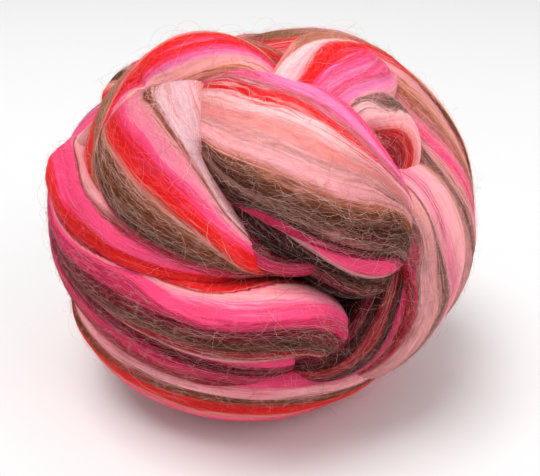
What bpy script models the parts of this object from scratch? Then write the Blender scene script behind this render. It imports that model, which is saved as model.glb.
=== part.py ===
"""Wool roving: one length of combed top gathered into a loose, rounded bundle.

The whole bundle is one solid. Its strand is laid over and under itself in
passes, each a soft, crowned section swept along a short route on the bundle's
envelope. Where one pass crosses another a crease is left between them, and
the bundle rests on a small flat spot.
"""

import math

import bmesh
import bpy
import numpy as np

MM = 0.001

# The envelope, in mm: an ellipsoid about the bundle's waist, fuller below it.
HALF_WIDTH = 97.0
HALF_DEPTH = 94.0
WAIST_HEIGHT = 82.0
CROWN_RISE = 82.0
BASE_DROP = 94.0

# The envelope's middle from the origin, in mm: it centres the bundle's own box.
SHIFT_RIGHT = -1.3
SHIFT_BACK = 1.71

# How far the inner body of the bundle lies under the envelope, in mm.
BODY_SINK = 13.0

# The strand's section: 2 would be an ellipse, more is fuller at its shoulders.
SECTION_FULLNESS = 2.3
SECTION_SIDES = 18
ROUTE_STEP = 5.0
# Length over which a pass rounds off at its ends, as a share of its half-width.
END_ROUND = 0.9

# The finished surface: its cells in mm, the crack that is closed over in mm, and
# the share of its faces that stay.
SURFACE_CELL = 2.2
SOFTEN_STEPS = 6
CLOSED_CRACK = 3.0
EVEN_CELL = 2.6
EASE_STEPS = 5
KEEP_SHARE = 0.19

# The block that levels the flat spot, and the inner body's rings, in mm and count.
FLOOR_SLAB = 60.0
BODY_SIDES = 40
BODY_RINGS = 24

# Each pass of the strand is a list of sections along its route. The columns:
#   turn    degrees round the bundle, 0 at its front and growing to its right
#   rise    degrees above the waist, 90 at the crown
#   sink    mm from the envelope in to the middle of the strand
#   wide    half the strand's width, mm
#   thick   half the strand's thickness, mm
PASSES = {
    "front_lobe": [
        (-44, 56, 42, 12, 11),
        (-29, 59, 27, 16, 13),
        (-15, 57, 13, 21, 17),
        (-1, 49, 10, 26, 19),
        (11, 41, 8, 29, 20),
        (21, 31, 9, 26, 18),
        (30, 21, 12, 21, 16),
        (37, 12, 18, 14, 13),
        (45, 3, 34, 9, 9),
    ],
    "front_ridge": [
        (-13, 38, 21, 4, 4),
        (-6, 32, 9, 5, 5),
        (2, 25, 6, 7, 6),
        (11, 19, 5, 7, 6),
        (20, 13, 5, 7, 6),
        (30, 10, 7, 7, 6),
        (38, 9, 14, 5, 5),
        (43, 10, 26, 4, 4),
    ],
    "front_under_roll": [
        (11, 14, 28, 7, 7),
        (18, 9, 18, 9, 9),
        (25, 5, 15, 10, 10),
        (32, 4, 16, 10, 10),
        (39, 6, 20, 9, 9),
        (46, 9, 30, 8, 8),
    ],
    "left_fan": [
        (-60, 63, 34, 14, 10),
        (-47, 58, 17, 18, 12),
        (-39, 51, 9, 22, 15),
        (-34, 43, 6, 25, 16),
        (-29, 35, 7, 24, 16),
        (-19, 26, 9, 20, 13),
        (-12, 20, 11, 15, 11),
        (-5, 15, 13, 10, 8),
        (1, 11, 17, 5, 5),
        (7, 7, 26, 3, 3),
    ],
    "left_loop": [
        (-38, 12, 32, 8, 8),
        (-48, 22, 17, 10, 10),
        (-57, 33, 14, 12, 12),
        (-66, 43, 14, 14, 13),
        (-75, 53, 13, 16, 14),
        (-75, 62, 11, 17, 14),
        (-55, 69, 7, 17, 14),
        (-22, 72, 9, 16, 13),
        (2, 68, 15, 13, 11),
        (18, 61, 30, 11, 9),
    ],
    "left_sliver": [
        (-112, 48, 32, 9, 8),
        (-94, 43, 21, 9, 9),
        (-80, 37, 14, 8, 8),
        (-71, 30, 10, 8, 8),
        (-65, 22, 10, 7, 7),
        (-58, 14, 13, 6, 6),
        (-51, 6, 25, 5, 5),
    ],
    "back_arch": [
        (-150, 58, 30, 15, 12),
        (-172, 69, 20, 17, 14),
        (140, 77, 14, 18, 14),
        (101, 69, 11, 18, 15),
        (87, 58, 11, 18, 15),
        (79, 46, 12, 18, 14),
        (73, 36, 13, 18, 14),
        (69, 24, 13, 18, 14),
        (67, 10, 14, 18, 14),
        (67, -4, 14, 17, 14),
        (68, -20, 14, 17, 14),
        (72, -38, 18, 16, 12),
        (78, -58, 32, 14, 10),
    ],
    "top_lobe": [
        (140, 50, 32, 15, 12),
        (114, 61, 17, 19, 14),
        (84, 66, 12, 24, 15),
        (50, 64, 9, 24, 15),
        (30, 59, 11, 22, 14),
        (16, 52, 18, 18, 12),
        (6, 45, 32, 14, 10),
    ],
    "top_hook": [
        (16, 47, 25, 8, 8),
        (27, 51, 12, 11, 9),
        (38, 53, 7, 12, 10),
        (47, 49, 6, 11, 10),
        (51, 42, 7, 9, 9),
        (48, 34, 12, 7, 8),
        (39, 30, 24, 6, 6),
    ],
    "right_fall": [
        (38, 40, 34, 10, 8),
        (44, 34, 22, 12, 10),
        (47, 26, 13, 16, 12),
        (48, 17, 10, 18, 13),
        (49, 6, 10, 19, 13),
        (49, -6, 11, 19, 13),
        (47, -20, 12, 18, 13),
        (42, -36, 16, 17, 12),
        (34, -54, 30, 14, 10),
    ],
    "left_nub": [
        (-168, 0, 30, 12, 10),
        (-146, 6, 16, 15, 12),
        (-122, 15, 14, 15, 13),
        (-102, 21, 18, 13, 12),
        (-89, 24, 18, 11, 11),
        (-78, 25, 12, 11, 11),
        (-69, 25, 7, 11, 11),
        (-61, 23, 6, 11, 11),
        (-51, 18, 9, 11, 11),
        (-40, 14, 11, 11, 10),
        (-29, 12, 12, 10, 10),
        (-18, 10, 14, 8, 8),
        (-8, 9, 17, 6, 6),
        (4, 8, 26, 5, 5),
    ],
    "left_low": [
        (-176, -18, 30, 13, 10),
        (-152, -12, 15, 16, 13),
        (-126, -5, 13, 17, 13),
        (-100, 0, 14, 15, 12),
        (-77, 0, 14, 13, 12),
        (-61, -5, 13, 13, 12),
        (-47, -11, 13, 14, 12),
        (-32, -16, 13, 14, 12),
        (-18, -21, 14, 14, 12),
        (-4, -26, 16, 13, 11),
        (8, -30, 22, 11, 10),
        (18, -34, 34, 9, 8),
    ],
    "front_bar": [
        (-132, 4, 30, 11, 9),
        (-112, 12, 15, 13, 11),
        (-92, 18, 13, 12, 11),
        (-76, 18, 11, 10, 10),
        (-65, 12, 10, 10, 10),
        (-50, 4, 11, 12, 11),
        (-35, -1, 11, 13, 12),
        (-20, -4, 11, 14, 13),
        (-8, -6, 11, 15, 14),
        (4, -6, 11, 15, 14),
        (13, -9, 14, 13, 12),
        (19, -16, 18, 11, 10),
        (22, -25, 30, 9, 8),
    ],
    "right_fan": [
        (46, 14, 32, 9, 9),
        (40, 6, 20, 10, 10),
        (36, -2, 16, 11, 11),
        (32, -11, 14, 12, 12),
        (27, -20, 14, 13, 12),
        (20, -28, 18, 13, 11),
        (11, -34, 27, 12, 10),
        (2, -38, 38, 10, 8),
    ],
    "crease_ribbon": [
        (-24, 54, 24, 5, 5),
        (-19, 45, 14, 6, 6),
        (-11, 34, 13, 6, 7),
        (-5, 24, 13, 7, 7),
        (0, 17, 13, 7, 7),
        (7, 13, 14, 6, 6),
        (14, 13, 16, 6, 6),
        (22, 16, 28, 4, 4),
    ],
    "crease_strand": [
        (-24, 44, 26, 6, 6),
        (-16, 38, 19, 8, 8),
        (-7, 29, 17, 10, 9),
        (2, 21, 16, 10, 9),
        (10, 17, 17, 10, 9),
        (18, 14, 21, 8, 8),
        (27, 13, 30, 6, 6),
    ],
    "left_side": [
        (-124, 74, 32, 15, 12),
        (-119, 62, 24, 18, 14),
        (-112, 46, 23, 20, 15),
        (-107, 28, 17, 20, 15),
        (-108, 10, 13, 18, 14),
        (-116, -8, 12, 18, 14),
        (-128, -24, 13, 17, 13),
        (-144, -38, 17, 16, 12),
        (-164, -48, 30, 13, 10),
    ],
    "right_back": [
        (172, 62, 30, 15, 12),
        (148, 56, 14, 19, 14),
        (124, 45, 11, 21, 15),
        (108, 31, 12, 21, 15),
        (98, 15, 13, 20, 15),
        (92, -2, 14, 19, 14),
        (88, -18, 15, 18, 13),
        (84, -34, 20, 16, 12),
        (80, -50, 32, 13, 10),
    ],
    "back_lobe": [
        (-137, 67, 34, 14, 11),
        (-153, 58, 20, 18, 13),
        (-174, 45, 11, 23, 17),
        (167, 30, 9, 24, 18),
        (150, 15, 9, 23, 17),
        (135, 0, 11, 20, 15),
        (122, -14, 16, 16, 12),
        (110, -24, 30, 12, 9),
    ],
    "back_left_fan": [
        (-106, 58, 28, 15, 12),
        (-118, 46, 12, 19, 14),
        (-130, 32, 10, 21, 15),
        (-143, 17, 10, 20, 15),
        (-158, 3, 11, 17, 13),
        (-174, -9, 15, 13, 10),
        (170, -18, 28, 9, 8),
    ],
    "back_low": [
        (-84, -12, 30, 14, 11),
        (-100, -18, 15, 17, 13),
        (-120, -22, 13, 18, 14),
        (-142, -25, 12, 20, 14),
        (-166, -27, 12, 21, 15),
        (170, -28, 12, 20, 14),
        (146, -26, 12, 19, 14),
        (124, -22, 13, 17, 13),
        (104, -16, 18, 15, 12),
        (88, -10, 30, 12, 10),
    ],
    "front_low": [
        (-136, -22, 30, 14, 11),
        (-116, -26, 15, 17, 13),
        (-96, -29, 13, 18, 13),
        (-76, -31, 12, 18, 13),
        (-54, -34, 12, 19, 14),
        (-30, -37, 12, 20, 14),
        (-4, -40, 13, 20, 14),
        (20, -42, 14, 19, 13),
        (44, -43, 16, 17, 12),
        (70, -46, 28, 14, 10),
    ],
    "right_low": [
        (142, 14, 30, 14, 11),
        (124, 2, 15, 18, 13),
        (108, -12, 13, 19, 14),
        (92, -26, 13, 19, 14),
        (72, -38, 14, 18, 13),
        (48, -46, 17, 16, 12),
        (22, -52, 30, 13, 10),
    ],
    "back_middle": [
        (-158, 54, 30, 15, 12),
        (-162, 38, 18, 18, 14),
        (-168, 22, 15, 20, 14),
        (-178, 6, 15, 20, 14),
        (168, -8, 16, 18, 13),
        (156, -20, 30, 14, 10),
    ],
    "crown_bridge": [
        (-126, 40, 30, 14, 11),
        (-132, 56, 19, 17, 13),
        (-138, 72, 17, 19, 13),
        (-60, 84, 16, 19, 13),
        (24, 78, 19, 16, 12),
        (44, 68, 30, 13, 10),
    ],
    "base_left": [
        (10, -50, 30, 14, 10),
        (-24, -50, 15, 18, 12),
        (-62, -50, 14, 19, 13),
        (-100, -50, 14, 19, 13),
        (-140, -50, 14, 19, 13),
        (180, -48, 15, 18, 12),
        (150, -44, 30, 14, 10),
    ],
    "base_right": [
        (-60, -60, 30, 14, 10),
        (-14, -56, 16, 18, 12),
        (30, -54, 15, 19, 13),
        (72, -53, 14, 19, 13),
        (112, -50, 14, 19, 13),
        (150, -52, 15, 18, 12),
        (-168, -60, 30, 14, 10),
    ],
    "under_across": [
        (78, -56, 30, 20, 10),
        (80, -72, 14, 30, 13),
        (-100, -88, 12, 32, 13),
        (-100, -70, 14, 30, 13),
        (-102, -56, 30, 20, 10),
    ],
    "under_along": [
        (-6, -56, 32, 20, 10),
        (-4, -72, 15, 30, 13),
        (172, -86, 14, 32, 13),
        (174, -70, 15, 30, 13),
        (176, -54, 32, 20, 10),
    ],
}


def on_ground(place):
    """A place about the envelope's middle, in mm, as metres above the ground."""
    return (place + np.array([SHIFT_RIGHT, SHIFT_BACK, WAIST_HEIGHT])) * MM


def envelope_point(turn, rise, sink):
    """The point that lies sink mm inside the envelope."""
    a, b = math.radians(turn), math.radians(rise)
    way = np.array([math.sin(a) * math.cos(b), -math.cos(a) * math.cos(b), math.sin(b)])
    half_height = CROWN_RISE if way[2] > 0 else BASE_DROP
    reach = np.array([HALF_WIDTH, HALF_DEPTH, half_height])
    outward = way / reach
    outward /= np.linalg.norm(outward)
    return way * reach - outward * sink


def outward_at(points):
    """The envelope's outward direction beside each point."""
    half_height = np.where(points[:, 2] > 0, CROWN_RISE, BASE_DROP)
    reach = np.stack([np.full(len(points), HALF_WIDTH), np.full(len(points), HALF_DEPTH), half_height], 1)
    outward = points / reach**2
    return outward / np.linalg.norm(outward, axis=1, keepdims=True)


def spline(knots, values, at):
    """A natural cubic spline through the values at the knots."""
    gaps = np.diff(knots)
    slopes = np.diff(values, axis=0) / gaps[:, None]
    count = len(knots)
    system = np.eye(count)
    right = np.zeros_like(values)
    for i in range(1, count - 1):
        system[i, i - 1] = gaps[i - 1]
        system[i, i] = 2 * (gaps[i - 1] + gaps[i])
        system[i, i + 1] = gaps[i]
        right[i] = 6 * (slopes[i] - slopes[i - 1])
    bend = np.linalg.solve(system, right)
    i = np.clip(np.searchsorted(knots, at) - 1, 0, count - 2)
    gap = gaps[i][:, None]
    u = (at - knots[i])[:, None]
    v = gap - u
    return (
        (bend[i] * v**3 + bend[i + 1] * u**3) / (6 * gap)
        + (values[i] / gap - bend[i] * gap / 6) * v
        + (values[i + 1] / gap - bend[i + 1] * gap / 6) * u
    )


def route(rows):
    """Even stations along a pass: its middle, half-width and half-thickness."""
    table = np.array(rows, float)
    middles = np.array([envelope_point(*row[:3]) for row in rows])
    knots = np.concatenate([[0.0], np.cumsum(np.linalg.norm(np.diff(middles, axis=0), axis=1))])
    count = int(round(knots[-1] / ROUTE_STEP)) + 1
    at = np.linspace(0.0, knots[-1], count)
    line = spline(knots, np.hstack([middles, table[:, 3:5]]), at)
    from_end = np.minimum(at, knots[-1] - at)
    tuck = np.clip(from_end / (END_ROUND * line[:, 3]), 0.0, 1.0)
    close = np.sqrt(1 - (1 - tuck) ** 2)
    return line[:, :3], line[:, 3] * close, line[:, 4] * close


def section_frames(middles):
    """The across and outward directions of the strand at each station."""
    along = np.gradient(middles, axis=0)
    along /= np.linalg.norm(along, axis=1, keepdims=True)
    outward = outward_at(middles)
    outward -= along * np.sum(outward * along, axis=1, keepdims=True)
    outward /= np.linalg.norm(outward, axis=1, keepdims=True)
    return np.cross(along, outward), outward


def add_pass(bm, rows):
    """One pass of the strand, a closed tube of crowned sections."""
    middles, wide, thick = route(rows)
    across, outward = section_frames(middles)
    angles = np.linspace(0, 2 * math.pi, SECTION_SIDES, endpoint=False)
    power = 2 / SECTION_FULLNESS
    side = np.sign(np.cos(angles)) * np.abs(np.cos(angles)) ** power
    crown = np.sign(np.sin(angles)) * np.abs(np.sin(angles)) ** power
    rings = []
    for i in range(1, len(middles) - 1):
        ring = []
        for s, c in zip(side, crown):
            place = middles[i] + across[i] * wide[i] * s + outward[i] * thick[i] * c
            ring.append(bm.verts.new(on_ground(place)))
        rings.append(ring)
    for lower, upper in zip(rings, rings[1:]):
        for j in range(SECTION_SIDES):
            k = (j + 1) % SECTION_SIDES
            bm.faces.new((lower[j], lower[k], upper[k], upper[j]))
    for ring, end in ((rings[0], middles[0]), (rings[-1], middles[-1])):
        tip = bm.verts.new(on_ground(end))
        for j in range(SECTION_SIDES):
            k = (j + 1) % SECTION_SIDES
            pair = (ring[k], ring[j]) if ring is rings[0] else (ring[j], ring[k])
            bm.faces.new((pair[0], pair[1], tip))


def add_body(bm):
    """The inner body of the bundle, which the passes lie on."""
    made = bmesh.ops.create_uvsphere(bm, u_segments=BODY_SIDES, v_segments=BODY_RINGS, radius=1.0)
    for vert in made["verts"]:
        half_height = CROWN_RISE if vert.co.z > 0 else BASE_DROP
        reach = np.array([HALF_WIDTH, HALF_DEPTH, half_height]) - BODY_SINK
        vert.co = on_ground(np.array(vert.co) * reach)


def wool_material():
    """Soft, matt wool in the bundle's mean pink."""
    wool = bpy.data.materials.new("wool")
    wool.use_nodes = True
    shader = wool.node_tree.nodes["Principled BSDF"]
    shader.inputs["Base Color"].default_value = (0.62, 0.16, 0.22, 1.0)
    shader.inputs["Roughness"].default_value = 0.75
    shader.inputs["Metallic"].default_value = 0.0
    return wool


def floor_cutter():
    """The block below the bundle that its flat spot is cut level with."""
    mesh = bpy.data.meshes.new("floor_cutter")
    bm = bmesh.new()
    bmesh.ops.create_cube(bm, size=1.0)
    for vert in bm.verts:
        vert.co.x *= 4 * HALF_WIDTH * MM
        vert.co.y *= 4 * HALF_DEPTH * MM
        vert.co.z = (vert.co.z - 0.5) * FLOOR_SLAB * MM
    bm.to_mesh(mesh)
    bm.free()
    cutter = bpy.data.objects.new("floor_cutter", mesh)
    bpy.context.scene.collection.objects.link(cutter)
    cutter.hide_render = True
    cutter.display_type = "WIRE"
    return cutter


def main():
    for old in list(bpy.data.objects):
        bpy.data.objects.remove(old, do_unlink=True)

    bm = bmesh.new()
    add_body(bm)
    for rows in PASSES.values():
        add_pass(bm, rows)
    bmesh.ops.recalc_face_normals(bm, faces=bm.faces)
    mesh = bpy.data.meshes.new("roving")
    bm.to_mesh(mesh)
    bm.free()
    roving = bpy.data.objects.new("roving", mesh)
    bpy.context.scene.collection.objects.link(roving)
    mesh.materials.append(wool_material())

    fuse = roving.modifiers.new("fuse", "REMESH")
    fuse.mode = "VOXEL"
    fuse.voxel_size = SURFACE_CELL * MM
    soften = roving.modifiers.new("soften", "SMOOTH")
    soften.iterations = SOFTEN_STEPS
    swell = roving.modifiers.new("swell", "DISPLACE")
    swell.mid_level = 0.0
    swell.strength = CLOSED_CRACK / 2 * MM
    even = roving.modifiers.new("even", "REMESH")
    even.mode = "VOXEL"
    even.voxel_size = EVEN_CELL * MM
    draw_in = roving.modifiers.new("draw_in", "DISPLACE")
    draw_in.mid_level = 0.0
    draw_in.strength = -CLOSED_CRACK / 2 * MM
    ease = roving.modifiers.new("ease", "SMOOTH")
    ease.iterations = EASE_STEPS
    thin = roving.modifiers.new("thin", "DECIMATE")
    thin.ratio = KEEP_SHARE
    level = roving.modifiers.new("level", "BOOLEAN")
    level.operation = "DIFFERENCE"
    level.solver = "EXACT"
    level.object = floor_cutter()


main()
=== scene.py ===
"""Looks of the wool roving: a loose, rounded bundle of striped combed top.

Each pass of the strand is its own combed surface, ridged along its fibres and
dyed in blended lengthwise stripes. Fine fibres lie along the passes, crimped
strays cross them, and a soft fuzz stands off the bundle. Lengths are in mm
until they are placed.
"""

import math

import bpy
import numpy as np
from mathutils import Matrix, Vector
from mathutils.bvhtree import BVHTree


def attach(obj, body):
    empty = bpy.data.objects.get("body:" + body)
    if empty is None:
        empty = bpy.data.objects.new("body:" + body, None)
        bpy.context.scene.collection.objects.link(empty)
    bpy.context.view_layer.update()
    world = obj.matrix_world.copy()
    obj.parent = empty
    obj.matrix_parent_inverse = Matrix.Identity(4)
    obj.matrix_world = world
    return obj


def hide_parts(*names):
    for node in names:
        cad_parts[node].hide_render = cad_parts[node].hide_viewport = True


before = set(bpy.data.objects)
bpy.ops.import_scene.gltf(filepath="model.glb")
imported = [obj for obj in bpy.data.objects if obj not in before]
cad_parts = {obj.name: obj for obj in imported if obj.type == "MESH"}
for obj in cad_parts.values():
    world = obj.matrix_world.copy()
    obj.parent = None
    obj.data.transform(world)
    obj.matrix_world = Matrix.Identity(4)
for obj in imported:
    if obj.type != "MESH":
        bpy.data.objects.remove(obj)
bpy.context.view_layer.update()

MM = 0.001
SEED = 20

# The envelope, in mm: an ellipsoid about the bundle's waist, fuller below it.
HALF_WIDTH = 97.0
HALF_DEPTH = 94.0
WAIST_HEIGHT = 82.0
CROWN_RISE = 82.0
BASE_DROP = 94.0
SHIFT_RIGHT = -1.3
SHIFT_BACK = 1.71
SECTION_FULLNESS = 2.3
END_ROUND = 0.9

# The inner body: mm inside the envelope and above the ground, its mesh, and the
# number that sets its noise.
BODY_SINK = 16.0
BODY_LIFT = 0.3
BODY_TURNS = 96
BODY_RINGS = 63
BODY_NUMBER = 40

# The passes' meshes: mm between rows, and mm between columns on the outer side.
ROW_STEP = 2.6
COLUMN_STEP = 1.15
UNDER_COLUMNS = 10
# The outer side goes this far past the section's shoulders, in half turns.
OUTER_SPILL = 0.12

# Each pass rests this many mm higher than the one before it.
BASE_STEP = 0.04
# The unit of a lie's place along the strand, in mm, and the empty edges of the
# bake map, as shares of it and of a fibre's cell.
LIE_UNIT = 100
MAP_EDGE = 0.01
CELL_EDGE = 0.1

# A swell and ridges along the strand. The columns: how many cross it, mm that
# they run on for before they fade, and their height in mm, which is full where
# the pass is half this wide.
FULL_RELIEF = 12
LEAST_RELIEF = 0.15
SWELL = (2.2, 34.0, 0.8)
RIDGES = [
    (5.0, 70.0, 0.6),
    (14.0, 45.0, 0.3),
    (34.0, 30.0, 0.14),
]
# How the ridges sway across the strand, with the same columns, in ridges.
RIDGE_SWAY = (3.0, 25.0, 0.35)
# A ridge grows this steeply out of its groove, which is this share of it deep.
RIDGE_SLOPE = 2.2
GROOVE_SHARE = 0.75

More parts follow.
